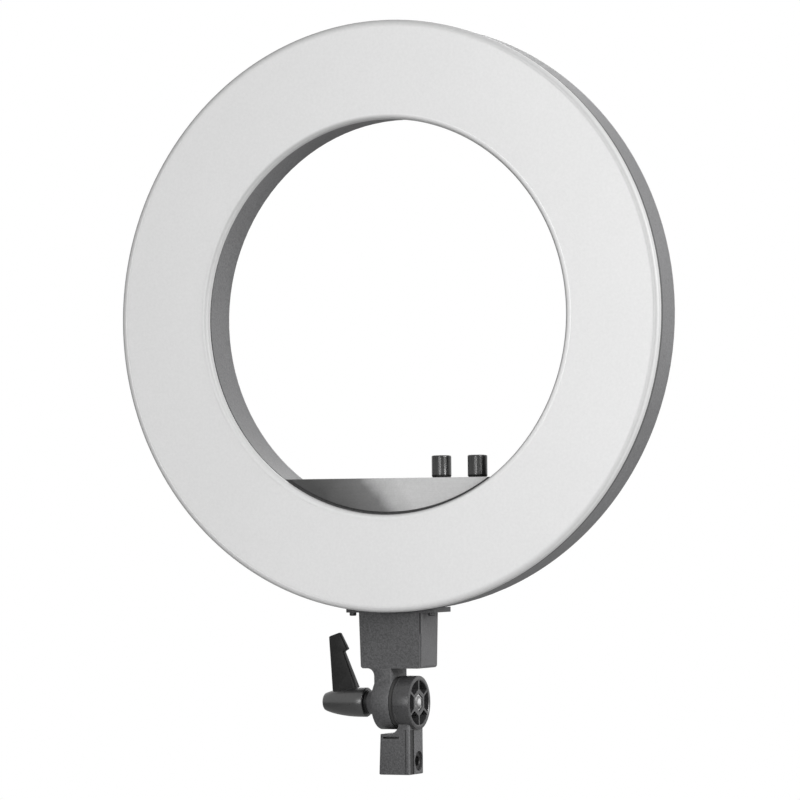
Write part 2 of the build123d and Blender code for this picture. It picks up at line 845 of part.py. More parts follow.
def stand_adapter():
    right = block_half_width
    deep = block_half_depth
    root = neck_root_radius
    outline = [
        Line((right, 0), (right, pivot_z)),
        Line((right, pivot_z), (neck_left_x, pivot_z)),
        Line((neck_left_x, pivot_z), (neck_left_x, block_height + root)),
        RadiusArc((neck_left_x, block_height + root), (neck_left_x - root, block_height), root),
        Line((neck_left_x - root, block_height), (-right, block_height)),
        Line((-right, block_height), (-right - block_flare, 0)),
        Line((-right - block_flare, 0), (right, 0)),
    ]
    body = prism_y(make_face(outline), -deep, deep)
    front_and_back = [edge for edge in body.edges() if abs(edge.center().Y) > deep - 1]
    upright = [edge for edge in front_and_back if abs(edge.center().X) > right - 1]
    body = fillet([edge for edge in upright if edge.length > block_height / 2], corner_radius)
    body = fillet(body.edges().group_by(Axis.Z)[0], corner_radius / 2)
    drum = rod_x(drum_radius, drum_left_x, drum_right_x, 0, pivot_z)
    drum = chamfer(drum.edges().filter_by(GeomType.CIRCLE), drum_chamfer)
    body = body + drum
    body = body - on_pivot(drum_pockets())
    body = body - rod_z(socket_radius, -1, socket_depth)
    slit_top = block_height - slit_drop
    body = body - block(-block_half_width + slit_side_land, neck_left_x,
                        -block_half_depth - 1, -block_half_depth + slit_depth,
                        slit_top - slit_height, slit_top)
    groove_x = block_half_width - edge_groove_inset
    body = body - block(groove_x - edge_groove_width, groove_x,
                        -block_half_depth - 1, -block_half_depth + edge_groove_depth,
                        -1, pivot_z - drum_radius)
    band_y = -block_half_depth + corner_radius
    body = body - block(block_half_width - side_band_depth, block_half_width + 1,
                        band_y, band_y + side_band_width, -1, pivot_z - drum_radius)
    pocket_x = block_half_width - lock_hole_depth
    body = body - rod_x(lock_hole_radius, pocket_x, block_half_width + 1, lock_hole_y, lock_hole_height)
    body = body - rod_x(lock_tip_radius, 0, pocket_x + 1, lock_hole_y, lock_hole_height)
    return body


def drum_pockets():
    # Six open pockets between rim and hub, a hexagonal seat for the bolt head, and the bolt's hole.
    ring = Circle(drum_radius - drum_rim) - hexagon(hub_across_flats)
    for index in range(spoke_count):
        spoke = Pos(drum_radius / 2, 0) * Rectangle(drum_radius, spoke_width)
        ring = ring - Rot(0, 0, 30 + 360 * index / spoke_count) * spoke
    pockets = prism_x(ring, drum_right_x - drum_pocket_depth, drum_right_x + 1)
    seat = prism_x(hexagon(bolt_head_flats + 2 * seat_gap), bolt_seat_x, drum_right_x + 1)
    hole = rod_x(bolt_radius + shaft_gap, drum_left_x - 1, bolt_seat_x + 1)
    return pockets + seat + hole


def friction_disc():
    disc = rod_x(friction_disc_radius, ear_right_x, drum_left_x)
    disc = chamfer(disc.edges().filter_by(GeomType.CIRCLE), friction_disc_chamfer)
    return on_pivot(disc - rod_x(bolt_radius + shaft_gap, ear_right_x - 1, drum_left_x + 1))


def clamp_bolt():
    head = prism_x(hexagon(bolt_head_flats), bolt_seat_x, bolt_seat_x + bolt_head_height)
    dome_x = bolt_seat_x + bolt_head_height
    half = bolt_head_flats / 2
    dome_radius = (half**2 + bolt_dome_height**2) / (2 * bolt_dome_height)
    dome = Pos(dome_x + bolt_dome_height - dome_radius, 0, 0) * Sphere(dome_radius)
    dome = dome & rod_x(half, dome_x - bolt_dome_root, dome_x + bolt_dome_height)
    shank = rod_x(bolt_radius, insert_left_x + insert_end_wall + bolt_end_gap, bolt_seat_x)
    return on_pivot(head + dome + shank)


def lock_bush():
    inner_x = block_half_width - lock_hole_depth
    outer_x = block_half_width - lock_bush_recess
    bush = rod_x(lock_hole_radius - shaft_gap, inner_x, outer_x)
    bush = bush - rod_x(lock_thread_radius, inner_x - 1, outer_x + 1)
    rim = bush.edges().filter_by(GeomType.CIRCLE).group_by(Axis.X)[-1]
    bush = chamfer(rim, lock_bush_chamfer)
    return Pos(0, lock_hole_y, lock_hole_height) * bush


# Clamping lever

def lever_washer():
    washer = rod_x(washer_radius, washer_left_x, boss_left_x)
    return on_pivot(washer - rod_x(bolt_radius + shaft_gap, washer_left_x - 1, boss_left_x + 1))


def lever_insert():
    insert = rod_x(insert_radius, insert_left_x, washer_left_x)
    insert = insert + rod_x(insert_flange_radius, washer_left_x - insert_flange_width, washer_left_x)
    wall_x = insert_left_x + insert_end_wall
    insert = insert - rod_x(bolt_radius + shaft_gap, wall_x, washer_left_x + 1)
    insert = insert - rod_x(lever_screw_radius + shaft_gap, insert_left_x - 1, wall_x + 1)
    return on_pivot(insert)


def lever_shoulder_x():
    return insert_left_x - running_gap


def lever_handle():
    straight_x = lever_right_x - lever_straight
    outline = [
        Line((lever_right_x, 0), (lever_right_x, lever_hub_radius)),
        Line((lever_right_x, lever_hub_radius), (straight_x, lever_hub_radius)),
        TangentArc((straight_x, lever_hub_radius), (lever_left_x, lever_nose_radius), tangent=(-1, 0)),
        Line((lever_left_x, lever_nose_radius), (lever_left_x, 0)),
        Line((lever_left_x, 0), (lever_right_x, 0)),
    ]
    section = make_face(outline)
    rim = section.vertices().sort_by_distance((lever_right_x, lever_hub_radius))[0]
    section = chamfer(rim, lever_rim_chamfer)
    hub = revolve(section, Axis.X)
    handle = hub + lever_arm()
    bore = rod_x(insert_radius + shaft_gap, lever_shoulder_x(), lever_right_x + 1)
    screw_hole = rod_x(lever_screw_radius + running_gap, lever_left_x - 1, lever_right_x)
    spring_bore = rod_x(lever_bore_radius, lever_left_x - 1, lever_shoulder_x() - lever_shoulder)
    return on_pivot(handle - bore - screw_hole - spring_bore)


def lever_arm():
    # Seen from the front it narrows from a wide foot to a hooked tip; it also gets thinner upwards.
    foot_right = lever_right_x - arm_foot_start
    foot_left = foot_right - arm_foot_width
    tip_right = lever_right_x - arm_tip_start
    tip_left = tip_right - arm_tip_width
    hook_x = tip_right + arm_hook_reach
    hook_height = arm_height - arm_hook_drop
    front = make_face(Polyline(
        (foot_left, arm_foot_height),
        (tip_left, arm_height - arm_tip_slope),
        (tip_right, arm_height),
        (hook_x, hook_height),
        (hook_x - arm_hook_step, hook_height - arm_hook_lift),
        (foot_right, arm_foot_height),
        close=True,
    ))
    front = fillet(front.vertices().sort_by_distance((tip_left, arm_height))[:2], arm_corner_radius)
    thick = arm_foot_thickness / 2
    thin = arm_tip_thickness / 2
    side = make_face(Polyline(
        (-thick, arm_foot_height),
        (thick, arm_foot_height),
        (thin, arm_height),
        (-thin, arm_height),
        close=True,
    ))
    arm = prism_y(front, -thick, thick) & prism_x(side, tip_left - 1, lever_right_x)
    long_edges = [edge for edge in arm.edges() if edge.length > arm_height / 2]
    return fillet(long_edges, arm_edge_radius)


def lever_screw_head_x():
    return lever_shoulder_x() - lever_shoulder - running_gap - spring_length - running_gap


def lever_spring():
    # The spring is out of sight inside the lever, so it is a plain sleeve of the coil's size.
    right = lever_shoulder_x() - lever_shoulder - running_gap
    sleeve = rod_x(spring_outer_radius, right - spring_length, right)
    return on_pivot(sleeve - rod_x(spring_inner_radius, right - spring_length - 1, right + 1))


def lever_screw():
    head_x = lever_screw_head_x()
    head = rod_x(lever_screw_head_radius, head_x - lever_screw_head_height, head_x)
    outside_x = head_x - lever_screw_head_height
    socket = prism_x(hexagon(lever_screw_radius * 1.6), outside_x - 1, outside_x + lever_screw_key_depth)
    shank = rod_x(lever_screw_radius, head_x, insert_left_x + insert_end_wall - lever_screw_end_gap)
    return on_pivot(head - socket + shank)


def group(shapes):
    return Compound(children=[shape.solid() if isinstance(shape, Compound) else shape for shape in shapes])


os.makedirs("parts", exist_ok=True)

save("front_diffuser", front_diffuser())
save("rear_housing", rear_housing())
save("housing_screws", group(housing_screws()))
for number in range(board_count):
    save(f"led_board_{number + 1}", led_board(number))
save("warm_leds", group(leds(0)))
save("cool_leds", group(leds(1)))
save("board_screws", group(board_screws()))
save("board_links", group(board_links()))
save("mount_backing_plate", mount_backing_plate())

save("control_case", control_case())
save("control_front_plate", control_front_plate())
save("control_rear_panel", control_rear_panel())
save("panel_screws", group(panel_screws()))
save("control_board", control_board())
save("board_spacers", group(board_spacers()))
save("driver_parts", group(driver_parts()))
save("power_switch_body", power_switch_body())
save("power_rocker", power_rocker())
save("dc_jack", dc_jack())
save("display_window", display_window())
save("display_module", display_module())
save("pot_nuts", group(pot_nuts()))
for name, x in zip(("brightness", "colour"), dial_x):
    save(f"{name}_pot", pot(x))
    save(f"{name}_shaft", pot_shaft(x))
    save(f"{name}_knob", knob(x))

save("tilt_bracket", tilt_bracket())
save("pivot_sleeve", pivot_sleeve())
save("bracket_screws", group(bracket_screws()))
save("stand_adapter", stand_adapter())
save("friction_disc", friction_disc())
save("clamp_bolt", clamp_bolt())
save("lock_bush", lock_bush())
save("lever_washer", lever_washer())
save("lever_insert", lever_insert())
save("lever_handle", lever_handle())
save("lever_spring", lever_spring())
save("lever_screw", lever_screw())
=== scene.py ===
import bpy
import json
from math import atan2, cos, pi, radians, sin
from mathutils import Matrix, Vector


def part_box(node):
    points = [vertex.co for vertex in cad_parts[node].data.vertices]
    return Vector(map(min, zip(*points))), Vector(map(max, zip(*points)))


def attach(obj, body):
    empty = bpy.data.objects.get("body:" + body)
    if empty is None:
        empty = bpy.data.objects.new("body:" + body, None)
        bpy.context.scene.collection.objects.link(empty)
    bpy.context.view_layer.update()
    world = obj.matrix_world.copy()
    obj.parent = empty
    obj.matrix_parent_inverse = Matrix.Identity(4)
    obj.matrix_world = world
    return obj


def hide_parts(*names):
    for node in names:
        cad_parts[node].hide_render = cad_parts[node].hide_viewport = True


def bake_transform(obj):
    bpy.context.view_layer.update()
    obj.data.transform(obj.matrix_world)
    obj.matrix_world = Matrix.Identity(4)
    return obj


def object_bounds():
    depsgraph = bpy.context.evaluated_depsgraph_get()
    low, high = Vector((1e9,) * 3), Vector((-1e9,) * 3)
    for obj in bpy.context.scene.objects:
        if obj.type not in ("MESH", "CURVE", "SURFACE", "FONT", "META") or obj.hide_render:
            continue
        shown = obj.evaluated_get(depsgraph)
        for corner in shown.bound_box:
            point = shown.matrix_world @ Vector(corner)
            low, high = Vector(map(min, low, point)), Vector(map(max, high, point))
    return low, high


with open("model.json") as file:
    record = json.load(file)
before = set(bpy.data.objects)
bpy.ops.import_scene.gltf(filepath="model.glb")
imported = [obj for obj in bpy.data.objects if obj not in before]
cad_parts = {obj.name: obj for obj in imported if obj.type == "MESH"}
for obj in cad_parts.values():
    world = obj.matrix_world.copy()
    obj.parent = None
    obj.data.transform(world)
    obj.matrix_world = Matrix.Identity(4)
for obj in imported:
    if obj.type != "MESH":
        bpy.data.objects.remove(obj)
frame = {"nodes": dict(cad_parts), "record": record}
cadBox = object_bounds()
print("frame loaded:", len(frame["nodes"]), "nodes")

mm = 0.001    # sizes below are in millimetres, in the part's own frame
touch = 0.01  # points this close, in millimetres, count as one place

# The ring's axis runs along Y through the middle of the housing,
# the tilt axis along X through the friction disc
housingLow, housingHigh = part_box("rear_housing")
ringAxis = Vector(((housingLow.x + housingHigh.x) / 2, 0, (housingLow.z + housingHigh.z) / 2))
discLow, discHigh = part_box("friction_disc")
tiltAxis = Vector((0, 0, (discLow.z + discHigh.z) / 2))
pivotZ = tiltAxis.z / mm

# Camera, as the photograph was taken

cameraSet = {
    "azimuth": 25.08,
    "elevation": -1.35,
    "roll": -0.61,
    "place": (1.5348, -3.2757, 0.2197),
    "lens": 199.35,
    "sensor": 36.0,
    "clipEnd": 50.0,
}


def makeCamera():
    s = cameraSet
    data = bpy.data.cameras.new("camera")
    data.lens = s["lens"]
    data.sensor_width = s["sensor"]
    data.clip_end = s["clipEnd"]
    camera = bpy.data.objects.new("camera", data)
    bpy.context.scene.collection.objects.link(camera)
    azimuth, elevation = radians(s["azimuth"]), radians(s["elevation"])
    back = Vector((sin(azimuth) * cos(elevation), -cos(azimuth) * cos(elevation), sin(elevation)))
    roll = Matrix.Rotation(radians(s["roll"]), 3, "Z").to_quaternion()
    camera.rotation_mode = "QUATERNION"
    camera.rotation_quaternion = (-back).to_track_quat("-Z", "Y") @ roll
    camera.location = s["place"]
    bpy.context.scene.camera = camera


makeCamera()
print("camera set")


# Node helpers

def addNode(tree, kind, inputs=None, **settings):
    # inputs: name or number of an input -> the socket it is linked to, or its value
    # settings: the node's own, or an input's value under its name
    node = tree.nodes.new(kind)
    for key, value in settings.items():
        if hasattr(node, key):
            setattr(node, key, value)
        else:
            node.inputs[key].default_value = value
    for key, source in (inputs or {}).items():
        if isinstance(source, bpy.types.NodeSocket):
            tree.links.new(source, node.inputs[key])
        else:
            node.inputs[key].default_value = source
    return node


def calculate(tree, operation, *numbers, **settings):
    inputs = dict(enumerate(numbers))
    return addNode(tree, "ShaderNodeMath", inputs, operation=operation, **settings).outputs[0]


def calculateVector(tree, operation, *vectors):
    inputs = dict(enumerate(vectors))
    return addNode(tree, "ShaderNodeVectorMath", inputs, operation=operation).outputs


def spreadOut(tree, socket, low, high, band=(0, 1), **settings):
    # Maps the band of the socket's values to low and high
    inputs = {"Value": socket, "From Min": band[0], "From Max": band[1],
              "To Min": low, "To Max": high}
    return addNode(tree, "ShaderNodeMapRange", inputs, **settings).outputs["Result"]


def addNoise(tree, place, scale, detail, roughness=0.5):
    inputs = {"Vector": place, "Scale": scale, "Detail": detail, "Roughness": roughness}
    return addNode(tree, "ShaderNodeTexNoise", inputs).outputs["Fac"]


def mixColours(tree, factor, first, second):
    inputs = {0: factor, 6: first, 7: second}
    return addNode(tree, "ShaderNodeMix", inputs, data_type="RGBA").outputs[2]


# Light: a white surround that the camera and gloss see, plain grey for the rest, and soft lamps

lightSet = {
    "surround": 0.26,
    "floorColour": (0.60, 0.60, 0.60, 1),
    "floorRoughness": 0.9,
    "floorSize": 14.0,
    "floorDrop": 0.75,
    "lamps": {
        # name: place, target, width, height, power
        "rightWindow": ((2.4, -0.8, 1.1), (0.0, 0.0, 0.25), 1.2, 1.2, 105.0),
        "frontStrip": ((0.10, -2.95, 0.45), (0.0, 0.0, 0.20), 0.6, 1.1, 21.0),
        "backPanel": ((-0.8, 2.6, 1.4), (0.0, 0.0, 0.35), 1.6, 1.6, 22.0),
    },
}


def makeWorld():
    world = bpy.data.worlds.new("surround")
    bpy.context.scene.world = world
    world.use_nodes = True
    tree = world.node_tree
    tree.nodes.clear()
    seen = addNode(tree, "ShaderNodeLightPath").outputs
    through = calculate(tree, "MAXIMUM", seen["Is Camera Ray"], seen["Is Transmission Ray"])
    bright = calculate(tree, "MAXIMUM", through, seen["Is Glossy Ray"])
    grey = addNode(tree, "ShaderNodeBackground", Color=(1, 1, 1, 1), Strength=lightSet["surround"])
    white = addNode(tree, "ShaderNodeBackground", Color=(1, 1, 1, 1), Strength=1.0)
    mix = addNode(tree, "ShaderNodeMixShader", {0: bright, 1: grey.outputs[0], 2: white.outputs[0]})
    addNode(tree, "ShaderNodeOutputWorld", {"Surface": mix.outputs[0]})


def makeLamp(name, place, target, width, height, power):
    data = bpy.data.lights.new(name, "AREA")
    data.shape = "RECTANGLE"
    data.size = width
    data.size_y = height
    data.energy = power
    lamp = bpy.data.objects.new(name, data)
    bpy.context.scene.collection.objects.link(lamp)
    lamp.location = place
    lamp.rotation_mode = "QUATERNION"
    lamp.rotation_quaternion = (Vector(target) - Vector(place)).to_track_quat("-Z", "Y")


makeWorld()
for lampName, lampValues in lightSet["lamps"].items():
    makeLamp(lampName, *lampValues)
print("lights set")


# Materials. Effects that several of them share are node groups, built once

effectSet = {
    "noiseBand": (0.3, 0.7),      # where most of a noise texture's values lie
    "grainDetail": 3.0, "grainRoughness": 0.6,
    "wearBand": (0.98, 0.80),     # from a flat place to a well-rounded edge
    "wearDetail": 4.0, "wearSamples": 4,
    "driftDetail": 5.0, "driftRoughness": 0.55,
}


def newGroup(name, inputs, outputs):
    group = bpy.data.node_groups.new(name, "ShaderNodeTree")
    for socketName, value in inputs.items():
        socket = group.interface.new_socket(name=socketName, in_out="INPUT",
                                            socket_type="NodeSocketFloat")
        socket.default_value = value
    for socketName, kind in outputs.items():
        group.interface.new_socket(name=socketName, in_out="OUTPUT",
                                   socket_type="NodeSocket" + kind)
    entry, leave = group.nodes.new("NodeGroupInput"), group.nodes.new("NodeGroupOutput")
    place = addNode(group, "ShaderNodeTexCoord").outputs["Object"]
    return group, entry.outputs, leave.inputs, place


def makeGrainGroup():
    # Fine raised grain of moulded plastic or textured paint: a mask and a bumped normal
    s = effectSet
    inputs = {"Scale": 900.0, "Depth": 0.2, "Distance": 0.0002}
    group, entry, leave, place = newGroup("grain", inputs, {"Mask": "Float", "Normal": "Vector"})
    fine = addNoise(group, place, entry["Scale"], s["grainDetail"], s["grainRoughness"])
    mask = spreadOut(group, fine, 0, 1, s["noiseBand"])
    bump = addNode(group, "ShaderNodeBump", {"Height": mask, "Strength": entry["Depth"],
                                             "Distance": entry["Distance"]})
    group.links.new(mask, leave["Mask"])
    group.links.new(bump.outputs["Normal"], leave["Normal"])
    return group


def makeWearAndHighlightGroup():
    # Rubbed edges, which also paint highlights on them: compares the shading normal with a rounded
    # one, broken up by noise
    s = effectSet
    inputs = {"Radius": 0.0006, "Amount": 0.5, "Break Up": 300.0}
    group, entry, leave, place = newGroup("edgeWear", inputs, {"Mask": "Float"})
    rounded = addNode(group, "ShaderNodeBevel", {"Radius": entry["Radius"]},
                      samples=s["wearSamples"])
    flat = addNode(group, "ShaderNodeNewGeometry")
    dot = calculateVector(group, "DOT_PRODUCT", rounded.outputs["Normal"], flat.outputs["Normal"])
    noise = addNoise(group, place, entry["Break Up"], s["wearDetail"])
    edge = spreadOut(group, dot["Value"], 0, 1, s["wearBand"])
    broken = calculate(group, "MULTIPLY", edge, noise)
    scaled = calculate(group, "MULTIPLY", broken, entry["Amount"], use_clamp=True)
    group.links.new(scaled, leave["Mask"])
    return group


def makeDriftGroup():
    # Slow change of tone over a large surface
    s = effectSet
    inputs = {"Scale": 6.0, "Low": 0.95, "High": 1.05}
    group, entry, leave, place = newGroup("toneDrift", inputs, {"Factor": "Float"})
    noise = addNoise(group, place, entry["Scale"], s["driftDetail"], s["driftRoughness"])
    drift = spreadOut(group, noise, entry["Low"], entry["High"], s["noiseBand"])
    group.links.new(drift, leave["Factor"])
    return group


grainGroup = makeGrainGroup()
wearAndHighlightGroup = makeWearAndHighlightGroup()
driftGroup = makeDriftGroup()


def useGroup(tree, group, **values):
    return addNode(tree, "ShaderNodeGroup", node_tree=group, **values).outputs


def newMaterial(name):
    material = bpy.data.materials.new(name)
    material.use_nodes = True
    return material, material.node_tree, material.node_tree.nodes["Principled BSDF"]


def feedShader(tree, shader, colour, roughness, normal):
    tree.links.new(colour, shader.inputs["Base Color"])
    tree.links.new(roughness, shader.inputs["Roughness"])
    tree.links.new(normal, shader.inputs["Normal"])


def wearAndHighlightColour(tree, amount, colour, wornColour):
    # The colour, with another one where the edges are rubbed, wear and painted edge highlight
    # together
    wornAndLitEdges = useGroup(tree, wearAndHighlightGroup, Amount=amount)
    return mixColours(tree, wornAndLitEdges["Mask"], colour, wornColour)


finishSet = {
    "roughnessSpan": (0.88, 1.18),     # how far the grain varies the roughness
    "wornLift": 0.08, "wornGain": 1.6,  # how much lighter rubbed edges are, wear and painted highlight together
}

finishes = {
    # name: colour, roughness, metallic, gloss level, grain scale, grain depth,
    # speckle, wear with painted edge highlight, tone low, tone high
    "housingPaint": ((0.101, 0.101, 0.103), 0.52, 0, 0.5, 620, 0.55, 0.34, 0.3, 0.9, 1.08),
    "bracketPlastic": ((0.067, 0.067, 0.069), 0.5, 0, 0.4, 760, 0.6, 0.4, 0.5, 0.88, 1.1),
    # the drum's full edge wear also paints the highlights on its rims and spokes
    "drumPlastic": ((0.034, 0.034, 0.035), 0.3, 0, 0.46, 800, 0.3, 0.3, 1, 0.85, 1.15),
    "leverPlastic": ((0.02, 0.02, 0.02), 0.31, 0, 0.95, 700, 0.04, 0.3, 0.25, 0.85, 1.15),
    "armPlastic": ((0.011, 0.011, 0.011), 0.38, 0, 0.2, 700, 0.05, 0.4, 0.15, 0.85, 1.15),
    "knobPlastic": ((0.004, 0.004, 0.004), 0.27, 0, 0.66, 700, 0.01, 0.2, 0.25, 0.9, 1.1),
    "blackPlastic": ((0.018, 0.018, 0.019), 0.5, 0, 0.4, 900, 0.35, 0.15, 0.3, 0.92, 1.08),
    # painted shade for the recessed band in the adapter's side
    "bandPlastic": ((0.022, 0.022, 0.022), 0.6, 0, 0.3, 760, 0.5, 0.3, 0.3, 0.88, 1.12),
    "brightSteel": ((0.7, 0.7, 0.7), 0.24, 1, 0.5, 900, 0.05, 0.04, 0.2, 0.95, 1.05),
    # darker copy of steel round the painted highlight on the bolt's dome
    "wornSteel": ((0.22, 0.22, 0.22), 0.4, 1, 0.5, 900, 0.08, 0.1, 0.2, 0.92, 1.08),
    "dullSteel": ((0.045, 0.045, 0.046), 0.45, 0.7, 0.4, 900, 0.2, 0.1, 0.5, 0.9, 1.1),
    "blackSteel": ((0.02, 0.02, 0.02), 0.4, 0.6, 0.4, 900, 0.1, 0.1, 0.3, 0.92, 1.08),
    "brass": ((0.62, 0.44, 0.17), 0.28, 1, 0.5, 900, 0.05, 0.04, 0.2, 0.95, 1.05),
    "frictionPad": ((0.036, 0.036, 0.036), 0.6, 0, 0.3, 1300, 0.5, 0.2, 0.2, 0.9, 1.1),
    "boardWhite": ((0.72, 0.73, 0.72), 0.35, 0, 0.5, 900, 0.03, 0.03, 0, 0.97, 1.03),
    "boardGreen": ((0.02, 0.12, 0.04), 0.32, 0, 0.5, 900, 0.05, 0.06, 0, 0.95, 1.05),
    "ledWarm": ((0.8, 0.46, 0.06), 0.35, 0, 0.5, 900, 0.02, 0.03, 0, 0.97, 1.03),
    "ledCool": ((0.8, 0.7, 0.28), 0.35, 0, 0.5, 900, 0.02, 0.03, 0, 0.97, 1.03),
    "componentBlack": ((0.02, 0.02, 0.02), 0.38, 0, 0.4, 900, 0.1, 0.1, 0.2, 0.92, 1.08),
    "displayPane": ((0.012, 0.006, 0.006), 0.08, 0, 0.5, 500, 0, 0.02, 0, 0.97, 1.03),
    # rubber of the felt rings, and also the painted shade of the gap strips and the plate's edge
    # ring
    "rubber": ((0.075, 0.075, 0.075), 0.8, 0, 0.2, 1100, 0.4, 0.3, 0, 0.9, 1.1),
    "markPaint": ((0.7, 0.7, 0.7), 0.45, 0, 0.5, 1500, 0.1, 0.05, 0, 0.95, 1.05),
}


def makeFinish(name, colour, roughness, metallic, gloss,
               grainScale, grainDepth, speckle, wear, toneLow, toneHigh):
    s = finishSet
    material, tree, shader = newMaterial(name)
    drift = useGroup(tree, driftGroup, Low=toneLow, High=toneHigh)
    grain = useGroup(tree, grainGroup, Scale=grainScale, Depth=grainDepth)
    dots = spreadOut(tree, grain["Mask"], 1 - speckle, 1 + speckle)
    tone = calculate(tree, "MULTIPLY", drift["Factor"], dots)
    base = calculateVector(tree, "MULTIPLY", colour, tone)["Vector"]
    wornColour = tuple(min(1.0, s["wornLift"] + value * s["wornGain"]) for value in colour) + (1,)
    wornAndLit = wearAndHighlightColour(tree, wear, base, wornColour)
    low, high = s["roughnessSpan"]
    rough = spreadOut(tree, grain["Mask"], roughness * low, min(1.0, roughness * high))
    feedShader(tree, shader, wornAndLit, rough, grain["Normal"])
    shader.inputs["Metallic"].default_value = metallic
    shader.inputs["Specular IOR Level"].default_value = gloss
    return material


materials = {name: makeFinish(name, *values) for name, values in finishes.items()}

opalSet = {
    "colour": (0.700, 0.700, 0.700, 1),
    "edgeColour": (0.360, 0.360, 0.360, 1),   # painted shade where the cover turns over at its two rims
    "outerRim": (0.2345, 0.2415), "innerRim": (0.1645, 0.1610),
    "cloudScale": 9.0, "cloudSpan": (0.985, 1.012),
    "grainScale": 420.0, "grainDepth": 0.04, "dotSpan": (0.975, 1.025),
    "roughness": (0.42, 0.56), "gloss": 0.35,
}


def makeOpal():
    # Milky acrylic: slightly cloudy, with painted shade that darkens it towards both rims, where
    # its edge turns over
    s = opalSet
    material, tree, shader = newMaterial("opalCover")
    place = addNode(tree, "ShaderNodeTexCoord").outputs["Object"]
    fromAxis = calculateVector(tree, "SUBTRACT", place, ringAxis)["Vector"]
    flat = calculateVector(tree, "MULTIPLY", fromAxis, (1, 0, 1))["Vector"]
    radius = calculateVector(tree, "LENGTH", flat)["Value"]
    rims = [spreadOut(tree, radius, 0, 1, s[rim], interpolation_type="SMOOTHSTEP")
            for rim in ("outerRim", "innerRim")]
    edge = calculate(tree, "MAXIMUM", *rims)
    rimShadedTint = mixColours(tree, edge, s["colour"], s["edgeColour"])
    low, high = s["cloudSpan"]
    cloud = useGroup(tree, driftGroup, Scale=s["cloudScale"], Low=low, High=high)
    grain = useGroup(tree, grainGroup, Scale=s["grainScale"], Depth=s["grainDepth"])
    dots = spreadOut(tree, grain["Mask"], *s["dotSpan"])
    tone = calculate(tree, "MULTIPLY", cloud["Factor"], dots)
    base = calculateVector(tree, "MULTIPLY", rimShadedTint, tone)["Vector"]
    rough = spreadOut(tree, grain["Mask"], *s["roughness"])
    feedShader(tree, shader, base, rough, grain["Normal"])
    shader.inputs["Specular IOR Level"].default_value = s["gloss"]
    return material


materials["opalCover"] = makeOpal()

silverSet = {
    "steps": [(0.0, 0.060), (0.58, 0.150), (0.78, 0.380), (1.0, 0.480)],  # painted reflection, dark at the left end to light
    "slant": 41.5,                # degrees that the painted reflection's edge leans
    "reach": (0.1073, 0.1623),    # along that lean, from the socket's mouth
    "cloudiness": 0.024, "cloudScale": 28.0, "cloudDetail": 4.0,
    "hairStretch": (60, 900, 2600), "hairDetail": 2.0, "hairSpan": (0.90, 1.10),
    "grainScale": 650.0, "grainDepth": 0.15, "dotSpan": (0.95, 1.05),
    "wear": 0.3, "wornColour": (0.6, 0.6, 0.6, 1),
    "roughness": (0.36, 0.52), "metallic": 0.5,
}


def makeSilver():
    # Brushed alloy, with a painted reflection that darkens it towards its left end in a soft cloudy
    # edge
    s = silverSet
    material, tree, shader = newMaterial("silverPlate")
    place = addNode(tree, "ShaderNodeTexCoord").outputs["Object"]
    slant = radians(s["slant"])
    lean = (cos(slant), 0, sin(slant))
    level = calculateVector(tree, "DOT_PRODUCT", place, lean)["Value"]
    cloud = addNoise(tree, place, s["cloudScale"], s["cloudDetail"])
    moved = calculate(tree, "MULTIPLY_ADD", cloud, s["cloudiness"], level)
    reach = [end + s["cloudiness"] / 2 for end in s["reach"]]
    along = spreadOut(tree, moved, 0, 1, reach)
    paintedReflection = addNode(tree, "ShaderNodeValToRGB", {"Fac": along})
    elements = paintedReflection.color_ramp.elements
    for position, grey in s["steps"][1:-1]:
        elements.new(position)
    for element, (position, grey) in zip(elements, s["steps"]):
        element.color = (grey, grey, grey, 1)
    stretch = addNode(tree, "ShaderNodeMapping", {"Vector": place}, Scale=s["hairStretch"])
    hair = addNoise(tree, stretch.outputs["Vector"], 1.0, s["hairDetail"])
    streak = spreadOut(tree, hair, *s["hairSpan"])
    grain = useGroup(tree, grainGroup, Scale=s["grainScale"], Depth=s["grainDepth"])
    dots = spreadOut(tree, grain["Mask"], *s["dotSpan"])
    tone = calculate(tree, "MULTIPLY", streak, dots)
    base = calculateVector(tree, "MULTIPLY", paintedReflection.outputs["Color"], tone)["Vector"]
    wornAndLit = wearAndHighlightColour(tree, s["wear"], base, s["wornColour"])
    rough = spreadOut(tree, hair, *s["roughness"])
    feedShader(tree, shader, wornAndLit, rough, grain["Normal"])
    shader.inputs["Metallic"].default_value = s["metallic"]
    return material


materials["silverPlate"] = makeSilver()
print("materials made:", len(materials))

# Nodes that look otherwise than their slot
nodeFinish = {
    # the lock bush is made near black, painted shade in the hole it sits in
    "lever_washer": "dullSteel", "bracket_screws": "dullSteel", "lock_bush": "armPlastic",
}


def finishOf(slotName):
    # The finish that goes by the slot's name, opalCover for opal_cover
    first, *others = slotName.split("_")
    return first + "".join(word.capitalize() for word in others)


def dressNodes():
    for part in frame["record"]["subparts"]:
        node = frame["nodes"][part["node"]]
        finish = nodeFinish.get(part["node"], finishOf(part["material_slot"]))
        node.data.materials.clear()
        node.data.materials.append(materials[finish])


dressNodes()
print("frame nodes dressed")


# Modelling helpers. Profiles and blocks are given in millimetres, operators get metres

def clearSelection():
    if bpy.context.object and bpy.context.object.mode == "EDIT":
        bpy.ops.object.mode_set(mode="OBJECT")
    bpy.ops.object.select_all(action="DESELECT")


def useOnly(piece):
    clearSelection()
    piece.select_set(True)
    bpy.context.view_layer.objects.active = piece


def editAll(piece):
    useOnly(piece)
    bpy.ops.object.mode_set(mode="EDIT")
    bpy.ops.mesh.select_all(action="SELECT")


def leaveEdit():
    bpy.ops.object.mode_set(mode="OBJECT")


